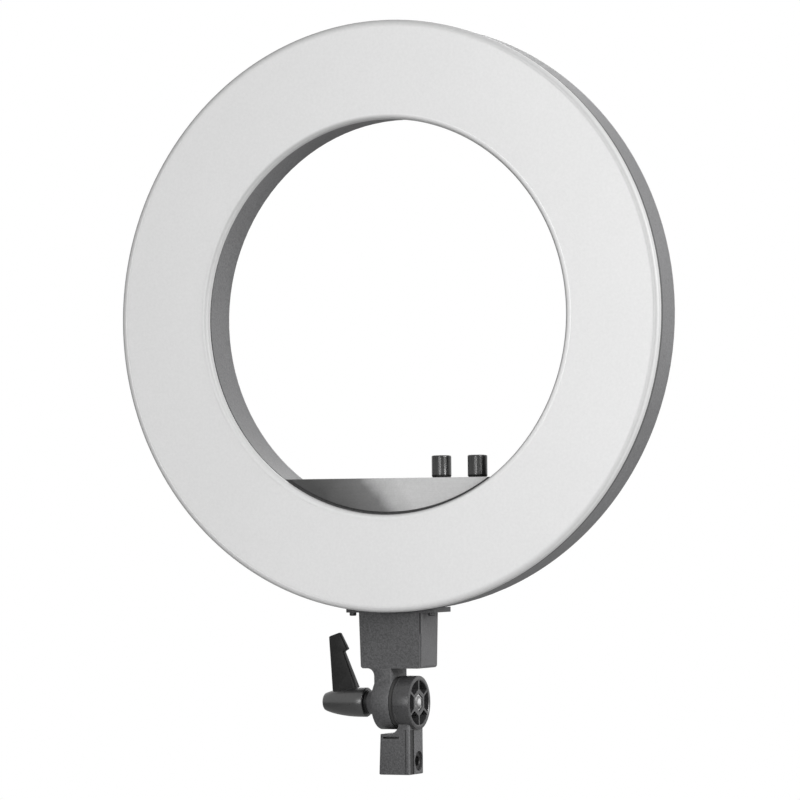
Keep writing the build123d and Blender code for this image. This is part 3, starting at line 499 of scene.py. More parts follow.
def extrudeBy(step):
    bpy.ops.mesh.extrude_region_move(TRANSFORM_OT_translate={"value": step})


def moveBy(x, y, z):
    bpy.ops.transform.translate(value=(x * mm, y * mm, z * mm))


def resizeBy(factors, centre):
    bpy.ops.transform.resize(value=factors, center_override=centre)


def keepPlace(name):
    # Names the new primitive and puts its place into its mesh
    piece = bpy.context.object
    piece.name = name
    bpy.ops.object.transform_apply(location=True, rotation=True, scale=True)
    return piece


def copyOf(piece, name):
    useOnly(piece)
    bpy.ops.object.duplicate()
    copy = bpy.context.object
    copy.name = name
    return copy


def pick(piece, kind, test):
    # Opens edit mode with only those vertices, edges or faces selected that pass the test
    bpy.ops.object.mode_set(mode="EDIT")
    bpy.ops.mesh.select_mode(type=kind)
    bpy.ops.mesh.select_all(action="DESELECT")
    leaveEdit()
    mesh = piece.data
    for item in {"FACE": mesh.polygons, "EDGE": mesh.edges, "VERT": mesh.vertices}[kind]:
        item.select = test(item)
    bpy.ops.object.mode_set(mode="EDIT")


def bevelEdges(piece, width, segments, test):
    # The test gets both ends of an edge, in millimetres
    points = [vertex.co / mm for vertex in piece.data.vertices]
    pick(piece, "EDGE", lambda edge: test(points[edge.vertices[0]], points[edge.vertices[1]]))
    bpy.ops.mesh.bevel(offset=width * mm, segments=segments, affect="EDGES", clamp_overlap=True)
    leaveEdit()


def startBlock(name, low, high):
    clearSelection()
    low, high = Vector(low) * mm, Vector(high) * mm
    bpy.ops.mesh.primitive_cube_add(size=1, location=(low + high) / 2, scale=high - low)
    return keepPlace(name)


ways = {  # direction of an axis, and the turn that faces a circle along it
    "X": (Vector((1, 0, 0)), (0, pi / 2, 0)),
    "Y": (Vector((0, 1, 0)), (pi / 2, 0, 0)),
    "Z": (Vector((0, 0, 1)), (0, 0, 0)),
}


def turnShape(name, axis, middle, profile, steps, closed=False, turn=0.0):
    # A circle round the axis, extruded and resized from one profile point (radius, along)
    # to the next, then bridged back to its start where closed, or else capped
    way, facing = ways[axis]
    radius, along = profile[0]
    centre = middle + way * along * mm
    clearSelection()
    bpy.ops.mesh.primitive_circle_add(vertices=steps, radius=radius * mm, location=centre,
                                      rotation=facing)
    piece = keepPlace(name)
    editAll(piece)
    bpy.ops.mesh.select_mode(type="EDGE")
    if turn:
        bpy.ops.transform.rotate(value=turn, orient_axis=axis, center_override=centre)
    for nextRadius, nextAlong in profile[1:]:
        extrudeBy(way * (nextAlong - along) * mm)
        grow = nextRadius / radius
        resizeBy((grow, grow, grow), middle + way * nextAlong * mm)
        radius, along = nextRadius, nextAlong
    bpy.ops.mesh.select_all(action="DESELECT")
    bpy.ops.mesh.select_non_manifold()
    if closed:
        bpy.ops.mesh.bridge_edge_loops()
    else:
        bpy.ops.mesh.fill_holes(sides=0)
    bpy.ops.mesh.select_all(action="SELECT")
    bpy.ops.mesh.normals_make_consistent(inside=False)
    leaveEdit()
    return piece


def wallEnds(radius, left, right, edge, edgeBreak):
    # Profile points of both ends of an outer wall, each edge rounded off in two steps
    return ([(radius - edge, left), (radius - edgeBreak, left + edgeBreak), (radius, left + edge)],
            [(radius, right - edge), (radius - edgeBreak, right - edgeBreak),
             (radius - edge, right)])


def useModifier(piece, kind, **values):
    useOnly(piece)
    modifier = piece.modifiers.new(kind.lower(), kind)
    for key, value in values.items():
        setattr(modifier, key, value)
    bpy.ops.object.modifier_apply(modifier=modifier.name)


def combine(piece, other, operation):
    useModifier(piece, "BOOLEAN", object=other, operation=operation, solver="EXACT")
    bpy.data.objects.remove(other)


def joinOn(piece, other):
    combine(piece, other, "UNION")


def cutOut(piece, tool):
    combine(piece, tool, "DIFFERENCE")


def cutBlock(piece, name, low, high):
    cutOut(piece, startBlock(name, low, high))


def cutTurned(piece, name, axis, middle, profile, steps, turn=0.0):
    cutOut(piece, turnShape(name, axis, middle, profile, steps, turn=turn))


def finishPiece(piece, body, slotName, nodes=(), finish=None, angle=34):
    # Its finish is the slot's own where none is given
    editAll(piece)
    bpy.ops.mesh.remove_doubles(threshold=0.000005)
    bpy.ops.mesh.normals_make_consistent(inside=False)
    leaveEdit()
    bpy.ops.object.shade_smooth_by_angle(angle=radians(angle))
    piece.data.materials.clear()
    piece.data.materials.append(materials[finish or finishOf(slotName)])
    if body:
        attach(piece, body)
    if nodes:
        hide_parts(*nodes)


def secondFinish(piece, finish, test):
    # Another finish on the faces whose centre, in millimetres, passes the test
    piece.data.materials.append(materials[finish])
    useOnly(piece)
    pick(piece, "FACE", lambda face: test(face.center / mm))
    piece.active_material_index = len(piece.data.materials) - 1
    bpy.ops.object.material_slot_assign()
    leaveEdit()


def offRing(point):
    # Distance of a point from the ring's axis, in millimetres
    return (point - ringAxis / mm).xz.length


def offTilt(point):
    # Distance of a point from the tilt axis, in millimetres
    return (point - tiltAxis / mm).yz.length


# Opal cover: a trough turned round the ring's axis, its face sunk a little between two borders

coverSet = {
    "outer": 240.8, "inner": 160.8, "wall": 2.2,
    "back": -20.2, "front": -25.9, "sunkBy": 0.1, "slope": 0.08,
    "outerBorder": 4.2, "innerBorder": 4.6,
    "cornerRound": 2.0, "steps": 192,
    "holeDrop": 0.8,        # the hole sits this much lower than the outer rim
    "holeReach": 170.0,     # what lies this near to the ring's axis is lowered
    # dark rings of painted shade at the bottom of the gaps beside the cover
    "outerSeal": (237.65, 240.12, -14.75), "innerSeal": (163.4, 164.75, -15.85),
    "sealFrom": -20.1, "sealRoll": 0.2,
}


def makeCover():
    s = coverSet
    outer, inner, wall, back, front = s["outer"], s["inner"], s["wall"], s["back"], s["front"]
    outerEdge, innerEdge = outer - s["outerBorder"], inner + s["innerBorder"]
    sunk = front + s["sunkBy"]
    profile = [
        (outer, back), (outer, front), (outerEdge + s["slope"], front), (outerEdge, sunk),
        (innerEdge, sunk), (innerEdge - s["slope"], front), (inner, front), (inner, back),
        (inner + wall, back), (inner + wall, front + wall),
        (outer - wall, front + wall), (outer - wall, back),
    ]
    cover = turnShape("opalCover", "Y", ringAxis, profile, s["steps"], closed=True)

    def onCorner(point):
        onRim = min(abs(offRing(point) - outer), abs(offRing(point) - inner)) < 5 * touch
        return onRim and abs(point.y - front) < touch

    bevelEdges(cover, s["cornerRound"], 6, lambda a, b: onCorner(a) and onCorner(b))
    pick(cover, "VERT", lambda vertex: offRing(vertex.co / mm) < s["holeReach"])
    moveBy(0, 0, -s["holeDrop"])
    finishPiece(cover, "head", "opal_cover", ["front_diffuser"])


def makeGapShade(name, innerRadius, outerRadius, end):
    # Painted shade: a dark strip at the bottom of the gap between cover and housing, its outer
    # edges rolled over
    start, roll = coverSet["sealFrom"], coverSet["sealRoll"]
    profile = [
        (innerRadius, start), (outerRadius - roll, start), (outerRadius, start + roll),
        (outerRadius, end - roll), (outerRadius - roll, end), (innerRadius, end),
    ]
    gapShadeRing = turnShape(name, "Y", ringAxis, profile, coverSet["steps"], closed=True)
    finishPiece(gapShadeRing, "head", "black_plastic", finish="rubber")


makeCover()
makeGapShade("outerSeal", *coverSet["outerSeal"])
makeGapShade("innerSeal", *coverSet["innerSeal"])
print("opal cover made")


# Front plate of the control box, a disc cut off level with the deck,
# and a dark ring of painted shade round its edge

plateSet = {
    "radius": 159.3, "shift": -1.0, "front": -17.4, "back": -16.45, "edge": 0.25, "top": 241.2,
    "gasketInner": 154.0, "gasketOuter": 160.5, "gasketFront": -16.7, "gasketBack": -15.92,
    "gasketEdge": 0.2, "gasketDrop": 0.3,
    "steps": 384,
}


def cutLevel(piece, height):
    # Cuts away all that is above the height and closes the cut
    editAll(piece)
    bpy.ops.mesh.bisect(plane_co=(0, 0, height * mm), plane_no=(0, 0, 1), use_fill=True,
                        clear_outer=True)
    leaveEdit()


def makePlate():
    s = plateSet
    radius, front, edge = s["radius"], s["front"], s["edge"]
    middle = ringAxis + Vector((s["shift"] * mm, 0, 0))
    profile = [(radius - edge, front), (radius, front + edge), (radius, s["back"])]
    plate = turnShape("controlPlate", "Y", middle, profile, s["steps"])
    cutLevel(plate, s["top"])
    finishPiece(plate, "head", "silver_plate", ["control_front_plate"])


def makePlateEdgeShade():
    # A dark ring of painted shade, standing in for the shadow gap round the plate
    s = plateSet
    inner, outer, edge = s["gasketInner"], s["gasketOuter"], s["gasketEdge"]
    front, back = s["gasketFront"], s["gasketBack"]
    profile = [(inner, front), (outer - edge, front), (outer, front + edge), (outer, back),
               (inner, back)]
    edgeShadeRing = turnShape("plateGasket", "Y", ringAxis, profile, s["steps"], closed=True)
    cutLevel(edgeShadeRing, s["top"] - s["gasketDrop"])
    finishPiece(edgeShadeRing, "head", "black_plastic", finish="rubber")


makePlate()
makePlateEdgeShade()
print("control plate made")


# Dials: turned, with the grip's flutes drawn in, and copied once

dialSet = {
    "place": (40.667, -5.0), "pitch": 32.0,
    "radius": 8.0, "foot": 241.8, "top": 259.2, "footEdge": 0.4,
    "cap": [(2.4, 0.45), (5.4, 0.40), (6.3, 0.02), (7.1, 0.0), (7.7, 0.35), (8.0, 1.0),
            (8.0, 1.3)],    # radius, and depth below the top
    "flutes": 24, "fluteDepth": 0.07, "stepsPerFlute": 6,
    "band": 2.0, "gripAboveBand": 0.4, "gripBelowTop": 1.7,
    "skirt": 6.1, "skirtDepth": 4.4, "boreRadius": 2.05, "boreTop": 255.5,
    "pointerWidth": 0.9, "pointerSlot": (-6.2, -2.9, 0.9), "pointerFill": (-6.1, -3.0, 0.88, 0.55),
    "pointerGap": 0.05, "pointerEdge": 0.12,
    "feltRadius": 7.4, "feltHole": 6.3, "feltLow": 241.22, "feltHigh": 241.77,
    "feltEdge": (0.1, 0.12),
}


def makeDialBody():
    s = dialSet
    radius, foot, top, edge = s["radius"], s["foot"], s["top"], s["footEdge"]
    middle = Vector((s["place"][0], s["place"][1], 0)) * mm
    gripLow, gripHigh = foot + s["band"] + s["gripAboveBand"], top - s["gripBelowTop"]
    profile = [(reach, top - depth) for reach, depth in s["cap"]]
    profile += [
        (radius, gripHigh), (radius, gripLow), (radius, foot + s["band"]),
        (radius, foot + edge), (radius - edge, foot), (s["skirt"], foot),
        (s["skirt"], foot + s["skirtDepth"]), (s["boreRadius"], foot + s["skirtDepth"]),
        (s["boreRadius"], s["boreTop"]),
    ]
    steps = s["flutes"] * s["stepsPerFlute"]
    dial = turnShape("brightnessDial", "Z", middle, profile, steps)

    def inFlute(vertex):
        point = (vertex.co - middle) / mm
        if point.xy.length < radius - 0.1 or not gripLow - touch < point.z < gripHigh + touch:
            return False
        turn = round(atan2(point.y, point.x) / (2 * pi) * steps)
        return turn % s["stepsPerFlute"] in (0, 1)

    pick(dial, "VERT", inFlute)
    shrink = 1 - s["fluteDepth"] / radius
    resizeBy((shrink, shrink, 1), middle)
    leaveEdit()
    return dial


def makeDials():
    s = dialSet
    dial = makeDialBody()
    x, y = s["place"]
    half, top = s["pointerWidth"] / 2, s["top"]
    start, end, depth = s["pointerSlot"]
    cutBlock(dial, "pointerSlot", (x - half, y + start, top - depth), (x + half, y + end, top + 1))
    half -= s["pointerGap"]
    start, end, low, high = s["pointerFill"]
    line = startBlock("brightnessPointer", (x - half, y + start, top - low),
                      (x + half, y + end, top - high))
    bevelEdges(line, s["pointerEdge"], 2,
               lambda a, b: abs(a.z - b.z) < touch and a.z > top - (low + high) / 2)
    second, secondLine = copyOf(dial, "colourDial"), copyOf(line, "colourPointer")
    for piece in (second, secondLine):
        editAll(piece)
        moveBy(s["pitch"], 0, 0)
        leaveEdit()
    sharp = 50
    finishPiece(dial, "brightness_dial", "knob_plastic", ["brightness_knob"], angle=sharp)
    finishPiece(second, "colour_dial", "knob_plastic", ["colour_knob"], angle=sharp)
    finishPiece(line, "brightness_dial", "knob_plastic", finish="markPaint")
    finishPiece(secondLine, "colour_dial", "knob_plastic", finish="markPaint")


def makeFelt(name, x):
    # Felt ring between dial and deck
    s = dialSet
    inner, outer, low, high = s["feltHole"], s["feltRadius"], s["feltLow"], s["feltHigh"]
    middle = Vector((x, s["place"][1], 0)) * mm
    inwards, upwards = s["feltEdge"]
    profile = [(inner, low), (outer - inwards, low), (outer, low + upwards),
               (outer, high - upwards), (outer - inwards, high), (inner, high)]
    felt = turnShape(name, "Z", middle, profile, 96, closed=True)
    finishPiece(felt, "head", "black_plastic", finish="rubber")


makeDials()
makeFelt("brightnessFelt", dialSet["place"][0])
makeFelt("colourFelt", dialSet["place"][0] + dialSet["pitch"])
print("dials made")


# Stand adapter: block with socket, neck and the wheel-like drum that the bolt passes through

adapterSet = {
    "halfWidth": 13.35, "halfDepth": 13.5, "height": 33.0, "flare": 1.4,
    "corner": 2.0, "footRound": 1.0,
    "neckLeft": 3.75, "neckRoot": 9.0, "neckPastAxis": 0.4,
    "drumLeft": 1.4, "drumRight": 16.4, "drumRadius": 21.9,
    "drumEdge": 0.8, "edgeBreak": 0.25, "drumGroove": (3.1, 3.9, 0.35, 0.15),
    "rimInside": 18.4, "rimFace": (0.6, 0.2), "faceSunk": 0.4, "pocketDepth": 9.0,
    "hubFlats": 19.6, "spokeWidth": 1.6, "spokeReach": 25.0,
    "seatFlats": 13.4, "seatX": 10.1,
    "boltHole": 4.05, "socketRadius": 8.15, "socketDepth": 27.0, "mouthEdge": 0.7,
    "slit": (-10.85, 3.75, 29.2, 31.0, 5.0),
    "grooveX": (9.05, 10.35), "grooveDepth": 0.9,
    "bandY": (-12.2, -4.8), "bandDepth": 0.8,
    "lockPlace": (4.7, 10.6), "lockRadius": 8.0, "lockDepth": 4.8, "lockEdge": 0.25,
    "lockPassage": 4.5,
    "drumSteps": 144,
}


def hexRadius(flats):
    # Circumscribed radius of a hexagon of that size across its flats
    return flats / 2 / cos(pi / 6)


def makeAdapterBlock():
    s = adapterSet
    wide, deep, height, neckLeft = s["halfWidth"], s["halfDepth"], s["height"], s["neckLeft"]
    body = startBlock("standAdapter", (-wide, -deep, 0), (wide, deep, height))
    editAll(body)
    bpy.ops.mesh.bisect(plane_co=(neckLeft * mm, 0, 0), plane_no=(1, 0, 0))
    pick(body, "FACE", lambda face: face.normal.z > 0.9 and face.center.x > neckLeft * mm)
    extrudeBy((0, 0, (pivotZ + s["neckPastAxis"] - height) * mm))
    pick(body, "VERT", lambda vertex: vertex.co.x < 0 and vertex.co.z < mm)
    moveBy(-s["flare"], 0, 0)
    bevelEdges(body, s["corner"], 5,
               lambda a, b: abs(a.z - b.z) > 1 and abs(a.x) > wide - 0.1)

    def onFoot(a, b):
        # The foot's outline, without the line that crosses it under the neck's left side
        crossing = max(abs(a.x - neckLeft), abs(b.x - neckLeft)) < touch
        return max(a.z, b.z) < touch and not crossing

    def atRoot(point):
        return abs(point.x - neckLeft) + abs(point.z - height) < 2 * touch

    bevelEdges(body, s["footRound"], 3, onFoot)
    bevelEdges(body, s["neckRoot"], 12, lambda a, b: atRoot(a) and atRoot(b))
    return body


def makeDrum():
    s = adapterSet
    left, right, radius = s["drumLeft"], s["drumRight"], s["drumRadius"]
    start, end, depth, side = s["drumGroove"]
    groove = [(radius, start), (radius - depth, start + side), (radius - depth, end - side),
              (radius, end)]
    outside, inside = (s["rimInside"] + wide for wide in s["rimFace"])
    face = [(outside, right), (inside, right - s["faceSunk"])]
    first, last = wallEnds(radius, left, right, s["drumEdge"], s["edgeBreak"])
    return turnShape("drum", "X", tiltAxis, first + groove + last + face, s["drumSteps"])


def makePockets():
    # Six pockets: a disc less the hexagonal hub and three bars across it
    s = adapterSet
    start, end, inside = s["drumRight"] - s["pocketDepth"], s["drumRight"] + 1, s["rimInside"]
    pockets = turnShape("pockets", "X", tiltAxis, [(inside, start), (inside, end)], s["drumSteps"])
    hub = hexRadius(s["hubFlats"])
    cutTurned(pockets, "hubBlank", "X", tiltAxis, [(hub, start - 1), (hub, end + 1)], 6, pi / 6)
    half, reach = s["spokeWidth"] / 2, s["spokeReach"]
    for number in range(3):
        bar = startBlock("spokeBar", (start - 1, -half, pivotZ - reach),
                         (end + 1, half, pivotZ + reach))
        editAll(bar)
        bpy.ops.transform.rotate(value=radians(60 * number), orient_axis="X",
                                 center_override=tiltAxis)
        leaveEdit()
        cutOut(pockets, bar)
    return pockets


def cutAdapterHoles(body):
    s = adapterSet
    wide, past = s["halfWidth"], s["drumRight"] + 1
    seat = hexRadius(s["seatFlats"])
    cutTurned(body, "seat", "X", tiltAxis, [(seat, s["seatX"]), (seat, past)], 6, pi / 6)
    bore = [(s["boltHole"], -2), (s["boltHole"], past)]
    cutTurned(body, "boltBore", "X", tiltAxis, bore, 48)
    socket, edge = s["socketRadius"], s["mouthEdge"]
    profile = [(socket + edge + 1, -1), (socket, edge), (socket, s["socketDepth"])]
    cutTurned(body, "socket", "Z", Vector(), profile, 96)
    face, foot = -s["halfDepth"], pivotZ - s["drumRadius"]
    left, right, low, high, depth = s["slit"]
    cutBlock(body, "slit", (left, face - 1, low), (right, face + depth, high))
    left, right = s["grooveX"]
    cutBlock(body, "groove", (left, face - 1, -1), (right, face + s["grooveDepth"], foot))
    front, back = s["bandY"]
    cutBlock(body, "band", (wide - s["bandDepth"], front, -1), (wide + 1, back, foot))
    lock = Vector((0, *s["lockPlace"])) * mm
    radius, edge, floor = s["lockRadius"], s["lockEdge"], wide - s["lockDepth"]
    hole = [(s["lockPassage"], 0), (s["lockPassage"], floor), (radius, floor + touch),
            (radius, wide - edge), (radius + edge + 1, wide + 1)]
    cutTurned(body, "lockHole", "X", lock, hole, 96)


def makeAdapter():
    s = adapterSet
    body = makeAdapterBlock()
    joinOn(body, makeDrum())
    cutOut(body, makePockets())
    cutAdapterHoles(body)
    finishPiece(body, "adapter", "drum_plastic", ["stand_adapter"])
    # The block and neck are duller and rougher than the drum; the band in the block is darker,
    # painted shade in that recess
    reach = s["drumRadius"] + 0.05
    floor = s["halfWidth"] - s["bandDepth"]
    front, back = s["bandY"]

    def inBand(point):
        return (floor - touch < point.x < floor + 0.5 and front - touch < point.y < back + touch
                and point.z < pivotZ - reach)

    secondFinish(body, "bracketPlastic", lambda point: offTilt(point) > reach)
    secondFinish(body, "bandPlastic", inBand)


makeAdapter()
print("stand adapter made")


# Clamp bolt: hexagonal domed head with a washer face, and its shank

boltSet = {
    "flats": 13.0, "seat": 10.1, "washer": 0.5, "washerInset": 0.2, "height": 5.3, "corner": 0.7,
    # radius, and height over the hexagon's face
    "dome": [(5.25, -0.6), (5.55, -0.3), (5.55, 0.03), (4.9, 0.35), (3.4, 0.72), (1.5, 0.94),
             (0.4, 1.0)],
    "shank": 4.0, "shankEnd": -40.7, "shankEdge": 0.5, "overlap": 0.3, "polished": 3.5,
}


def makeBolt():
    s = boltSet
    seat, top = s["seat"], s["seat"] + s["height"]
    radius, inset, edge = hexRadius(s["flats"]), s["washerInset"], s["shankEdge"]
    hexagon = [(radius, seat + s["washer"]), (radius, top - s["corner"]),
               (radius - s["corner"], top)]
    head = turnShape("clampBolt", "X", tiltAxis, hexagon, 6, turn=pi / 6)
    washer = s["flats"] / 2 - inset
    face = [(washer, seat), (washer, seat + s["washer"] + inset)]
    joinOn(head, turnShape("washerFace", "X", tiltAxis, face, 72))
    dome = [(reach, top + rise) for reach, rise in s["dome"]]
    joinOn(head, turnShape("dome", "X", tiltAxis, dome, 72))
    shank = [(s["shank"] - edge, s["shankEnd"]), (s["shank"], s["shankEnd"] + edge),
             (s["shank"], seat + s["overlap"])]
    joinOn(head, turnShape("shank", "X", tiltAxis, shank, 48))
    finishPiece(head, "adapter", "bright_steel", ["clamp_bolt"])
    # Painted highlight: only the middle of the dome keeps the bright steel, the rest gets a darker
    # copy of it
    secondFinish(head, "wornSteel", lambda point: offTilt(point) > s["polished"])


makeBolt()
print("clamp bolt made")


# Tilt bracket: box under the ring with its flange, neck, ear and the lever's boss

bracketSet = {
    "x": -2.2, "front": -15.2, "back": 17.2, "earBack": 15.7,
    "low": 86.4, "flangeLow": 131.8, "flangeTop": 154.5, "flangeHalf": 40.2,
    "boxPastFlange": 6.0, "topHalf": 28.25, "lowHalf": 26.8, "wall": 3.2, "hollowTop": 170.0,
    "lowCorner": 2.4, "edgeRound": 1.2, "flangeCorner": 2.0, "flangeEdge": 0.3, "frontEdge": 0.5,
    "ringRadius": 240.2,
    "groove": (1.6, 1.3),
    "earLeft": -17.3, "earRight": -2.0, "earRadius": 22.0, "earEdge": 0.8, "edgeBreak": 0.25,
    "neckFrom": 12.0, "neckInBox": 3.0, "neckEdge": 0.6,
    "bossLeft": -26.9, "bossRadius": 10.0, "bossFoot": 0.6, "bore": 5.85,
    "rootRadius": 6.0, "rootInset": 0.3, "rootSink": 0.03,
    "screws": [(-37.6, -11.0), (33.2, -11.0)], "screwRadius": 1.85,
    "faceStep": 0.02,       # keeps faces that are joined from lying in one plane
}


def makeBracketBox():
    s = bracketSet
    x, front, back, low, flangeLow = s["x"], s["front"], s["back"], s["low"], s["flangeLow"]
    half, lowHalf, wall = s["topHalf"], s["lowHalf"], s["wall"]
    box = startBlock("tiltBracket", (x - half, front, low),
                     (x + half, back, flangeLow + s["boxPastFlange"]))
    pick(box, "VERT", lambda vertex: vertex.co.z < (low + 1) * mm)
    resizeBy((lowHalf / half, 1, 1), (x * mm, 0, low * mm))
    bevelEdges(box, s["lowCorner"], 5, lambda a, b: abs(a.y - b.y) > 1 and a.z < low + 1)
    bevelEdges(box, s["edgeRound"], 3,
               lambda a, b: max(a.z, b.z) < low + touch and abs(a.x - b.x) > 1)
    bevelEdges(box, s["frontEdge"], 2, lambda a, b: abs(a.z - b.z) > 20)
    half, past = s["flangeHalf"], s["faceStep"]
    flange = startBlock("flange", (x - half, front - past, flangeLow),
                        (x + half, back + past, s["flangeTop"]))
    bevelEdges(flange, s["flangeCorner"], 4, lambda a, b: abs(a.z - b.z) > 1)
    bevelEdges(flange, s["flangeEdge"], 2, lambda a, b: max(a.z, b.z) < flangeLow + touch)
    joinOn(box, flange)
    ring = [(s["ringRadius"], front - 2), (s["ringRadius"], back + 2)]
    cutTurned(box, "ringCut", "Y", ringAxis, ring, 384)
    half = lowHalf - wall
    cutBlock(box, "hollow", (x - half, front + wall, low + wall),
             (x + half, back - wall, s["hollowTop"]))
    width, depth = s["groove"]
    right = x + lowHalf
    cutBlock(box, "cornerGroove", (right - width / 2, front - 1, low - 1),
             (right + width / 2, front + depth, flangeLow))
    hole = [(s["screwRadius"], flangeLow - 2), (s["screwRadius"], s["flangeTop"])]
    for screwX, screwY in s["screws"]:
        cutTurned(box, "screwHole", "Z", Vector((screwX, screwY, 0)) * mm, hole, 32)
    return box


def makeEar():
    s = bracketSet
    left, right, bossLeft = s["earLeft"], s["earRight"], s["bossLeft"]
    boss, foot, edges = s["bossRadius"], s["bossFoot"], (s["earEdge"], s["edgeBreak"])
    bossStart = wallEnds(boss, bossLeft, left, *edges)[0]
    start, end = wallEnds(s["earRadius"], left, right, *edges)
    profile = [(s["bore"], bossLeft), *bossStart, (boss, left - foot), (boss + foot, left),
               *start, *end, (s["bore"], right)]
    ear = turnShape("ear", "X", tiltAxis, profile, 144, closed=True)
    inset, low, back = s["faceStep"], s["low"], s["earBack"]
    neck = startBlock("bracketNeck", (left + inset, s["front"] + inset, pivotZ + s["neckFrom"]),
                      (right - inset, back, low + s["neckInBox"]))
    bevelEdges(neck, s["neckEdge"], 2, lambda a, b: abs(a.z - b.z) > 1)
    joinOn(ear, neck)
    # The fillet between box and neck is a block with a round scoop taken out
    root, rootInset = s["rootRadius"], s["rootInset"]
    corner = startBlock("root", (left - root, s["front"] + rootInset, low - root),
                        (left + 1, back - rootInset, low + 2))
    sink = inset + s["rootSink"]
    scoop = Vector((left - root + sink, 0, low - root + sink)) * mm
    cutTurned(corner, "scoop", "Y", scoop, [(root, -30), (root, 30)], 72)
    joinOn(ear, corner)
    return ear


def makeBracket():
    bracket = makeBracketBox()
    joinOn(bracket, makeEar())
    finishPiece(bracket, "head", "bracket_plastic", ["tilt_bracket"])


makeBracket()
print("tilt bracket made")


# Clamping lever: turned hub with a rounded nose, and a hooked arm that thins upwards

leverSet = {
    "right": -30.0,
    # radius, and distance from the right end
    "hub": [(10.95, 0.0), (11.7, 0.35), (12.15, 1.1), (12.15, 8.1), (12.02, 12.0), (11.72, 16.5),
            (11.25, 21.0), (10.55, 25.5), (9.65, 30.0), (8.6, 34.0), (7.7, 36.6), (7.1, 37.9),
            (6.4, 38.45), (5.3, 38.5)],
    "noseBore": 4.8, "noseDepth": 14.7, "noseEdge": 0.4, "screwBore": 2.85,
    "boreEnd": 21.5, "insertBore": 6.65, "mouth": (9.7, 0.6, 1.0),
    "armSections": [
        # height, left, right, half thickness; heights from the hub's axis, x from the tilt axis
        (7.6, -60.2, -37.3, 4.5), (24.0, -61.6, -43.9, 3.75), (40.2, -63.0, -50.45, 3.05),
        (41.3, -63.1, -50.9, 3.0), (43.3, -63.3, -47.3, 2.9),
    ],
    "tip": ((-64.2, 53.6), (-54.3, 57.0), 2.3),
    "armRound": 1.0, "armAbove": 12.25,
}


def makeArm():
    s = leverSet
    height, left, right, half = s["armSections"][0]
    arm = startBlock("arm", (left, -half, pivotZ + height - 1), (right, half, pivotZ + height))
    pick(arm, "FACE", lambda face: face.normal.z > 0.9)
    for nextHeight, nextLeft, nextRight, nextHalf in s["armSections"][1:]:
        extrudeBy((0, 0, (nextHeight - height) * mm))
        moveBy((nextLeft + nextRight - left - right) / 2, 0, 0)
        resizeBy(((nextRight - nextLeft) / (right - left), nextHalf / half, 1),
                 ((nextLeft + nextRight) / 2 * mm, 0, (pivotZ + nextHeight) * mm))
        height, left, right, half = nextHeight, nextLeft, nextRight, nextHalf
    (tipLeft, tipLeftHeight), (tipRight, tipRightHeight), tipHalf = s["tip"]
    extrudeBy((0, 0, (tipRightHeight - height) * mm))
    resizeBy((1, tipHalf / half, 1), (0, 0, 0))
    top, middle = (pivotZ + tipRightHeight - 0.5) * mm, (left + right) / 2 * mm
    pick(arm, "VERT", lambda vertex: vertex.co.z > top and vertex.co.x > middle)
    moveBy(tipRight - right, 0, 0)
    pick(arm, "VERT", lambda vertex: vertex.co.z > top and vertex.co.x < middle)
    moveBy(tipLeft - left, 0, tipLeftHeight - tipRightHeight)
    leaveEdit()
    useModifier(arm, "BEVEL", width=s["armRound"] * mm, segments=3, limit_method="ANGLE",
                angle_limit=radians(28))
    return arm


def makeLever():
    s = leverSet
    right = s["right"]
    nose = right - s["hub"][-1][1]
    noseFloor, insertFloor = nose + s["noseDepth"], right - s["boreEnd"]
    mouth, mouthIn, mouthDepth = s["mouth"]
    profile = [(radius, right - back) for radius, back in s["hub"]]
    profile += [
        (s["noseBore"], nose + s["noseEdge"]), (s["noseBore"], noseFloor),
        (s["screwBore"], noseFloor + touch), (s["screwBore"], insertFloor - touch),
        (s["insertBore"], insertFloor), (s["insertBore"], right - mouthDepth),
        (mouth, right - mouthIn), (mouth, right),
    ]
    lever = turnShape("clampLever", "X", tiltAxis, profile, 96, closed=True)
    joinOn(lever, makeArm())
    finishPiece(lever, "lever_grip", "lever_plastic", ["lever_handle"], angle=40)
    secondFinish(lever, "armPlastic", lambda point: point.z - pivotZ > s["armAbove"])


makeLever()
print("lever made")


# Lever spring: a coil between the screw's head and the lever's shoulder, made here at one length,
# though the real one shortens as the lever is pulled out

springSet = {
    "radius": 3.75, "wire": 0.45, "coils": 3.5, "stepsPerCoil": 28, "wireSteps": 10,
}


def makeSpring():
    s = springSet
    low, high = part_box("lever_spring")
    clearSelection()
    bpy.ops.mesh.primitive_circle_add(vertices=s["wireSteps"], radius=s["wire"] * mm,
                                      location=(0, 0, s["radius"] * mm), rotation=(pi / 2, 0, 0))
    spring = keepPlace("leverSpring")
    length = high.x - low.x - 2 * s["wire"] * mm
    steps = int(s["stepsPerCoil"] * s["coils"])
    useModifier(spring, "SCREW", axis="X", angle=2 * pi * s["coils"], screw_offset=length,
                use_merge_vertices=True, steps=steps, render_steps=steps,
                merge_threshold=0.000001)
    editAll(spring)
    bpy.ops.transform.translate(value=(low.x + s["wire"] * mm, 0, tiltAxis.z))
    bpy.ops.mesh.select_mode(type="EDGE")
    bpy.ops.mesh.select_all(action="DESELECT")
    bpy.ops.mesh.select_non_manifold()
    bpy.ops.mesh.fill_holes(sides=0)
    leaveEdit()
    finishPiece(spring, None, "bright_steel", ["lever_spring"], angle=50)
    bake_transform(spring)


makeSpring()
print("lever spring made")


# Scale marks on the deck round both dials

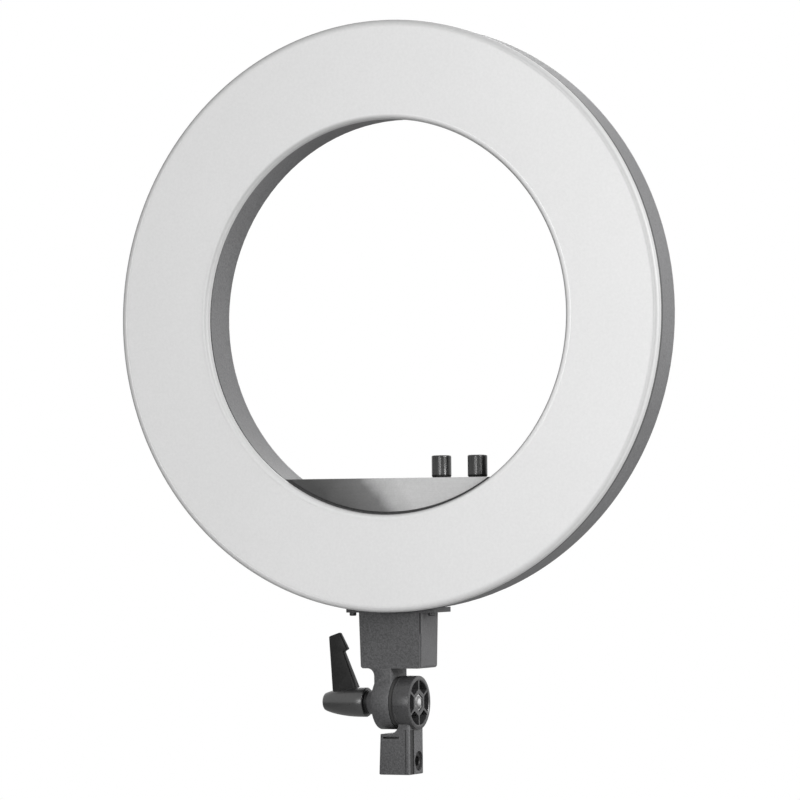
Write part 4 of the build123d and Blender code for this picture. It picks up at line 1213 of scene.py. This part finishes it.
markSet = {
    "deck": 241.2, "ticks": 11, "sweep": 290.0, "inner": 9.6, "outer": 11.0,
    "width": 0.5, "sunk": 0.01, "rise": 0.06, "corner": 0.15,
}


def makeScale(name, x):
    # One tick is made, bevelled and copied round the dial, then the ticks are joined
    s = markSet
    y, deck, half = dialSet["place"][1], s["deck"], s["width"] / 2
    centre = Vector((x, y, deck)) * mm
    tick = startBlock(name, (x - half, y - s["outer"], deck + s["sunk"]),
                      (x + half, y - s["inner"], deck + s["rise"]))
    bevelEdges(tick, s["corner"], 2, lambda a, b: abs(a.z - b.z) > touch)
    ticks = [tick] + [copyOf(tick, name + "Tick") for number in range(1, s["ticks"])]
    for number, tick in enumerate(ticks):
        editAll(tick)
        turn = radians(-s["sweep"] / 2 + s["sweep"] * number / (s["ticks"] - 1))
        bpy.ops.transform.rotate(value=turn, orient_axis="Z", center_override=centre)
        leaveEdit()
    clearSelection()
    for tick in ticks:
        tick.select_set(True)
    bpy.context.view_layer.objects.active = ticks[0]
    bpy.ops.object.join()
    finishPiece(ticks[0], "head", "silver_plate", finish="blackPlastic")


makeScale("brightnessScale", dialSet["place"][0])
makeScale("colourScale", dialSet["place"][0] + dialSet["pitch"])
print("scale marks made")


# Floor, well below the head, as on a studio sweep

def makeFloor():
    clearSelection()
    bpy.ops.mesh.primitive_plane_add(size=lightSet["floorSize"],
                                     location=(0, 0, cadBox[0].z - lightSet["floorDrop"]))
    floor = bpy.context.object
    floor.name = "studioFloor"
    material, tree, shader = newMaterial("studioFloor")
    shader.inputs["Base Color"].default_value = lightSet["floorColour"]
    shader.inputs["Roughness"].default_value = lightSet["floorRoughness"]
    seen = addNode(tree, "ShaderNodeLightPath").outputs["Is Camera Ray"]
    white = addNode(tree, "ShaderNodeEmission")
    mix = addNode(tree, "ShaderNodeMixShader",
                  {0: seen, 1: shader.outputs[0], 2: white.outputs[0]})
    tree.links.new(mix.outputs[0], tree.nodes["Material Output"].inputs["Surface"])
    floor.data.materials.append(material)


makeFloor()
print("floor made")

bpy.context.scene.view_settings.view_transform = "Standard"
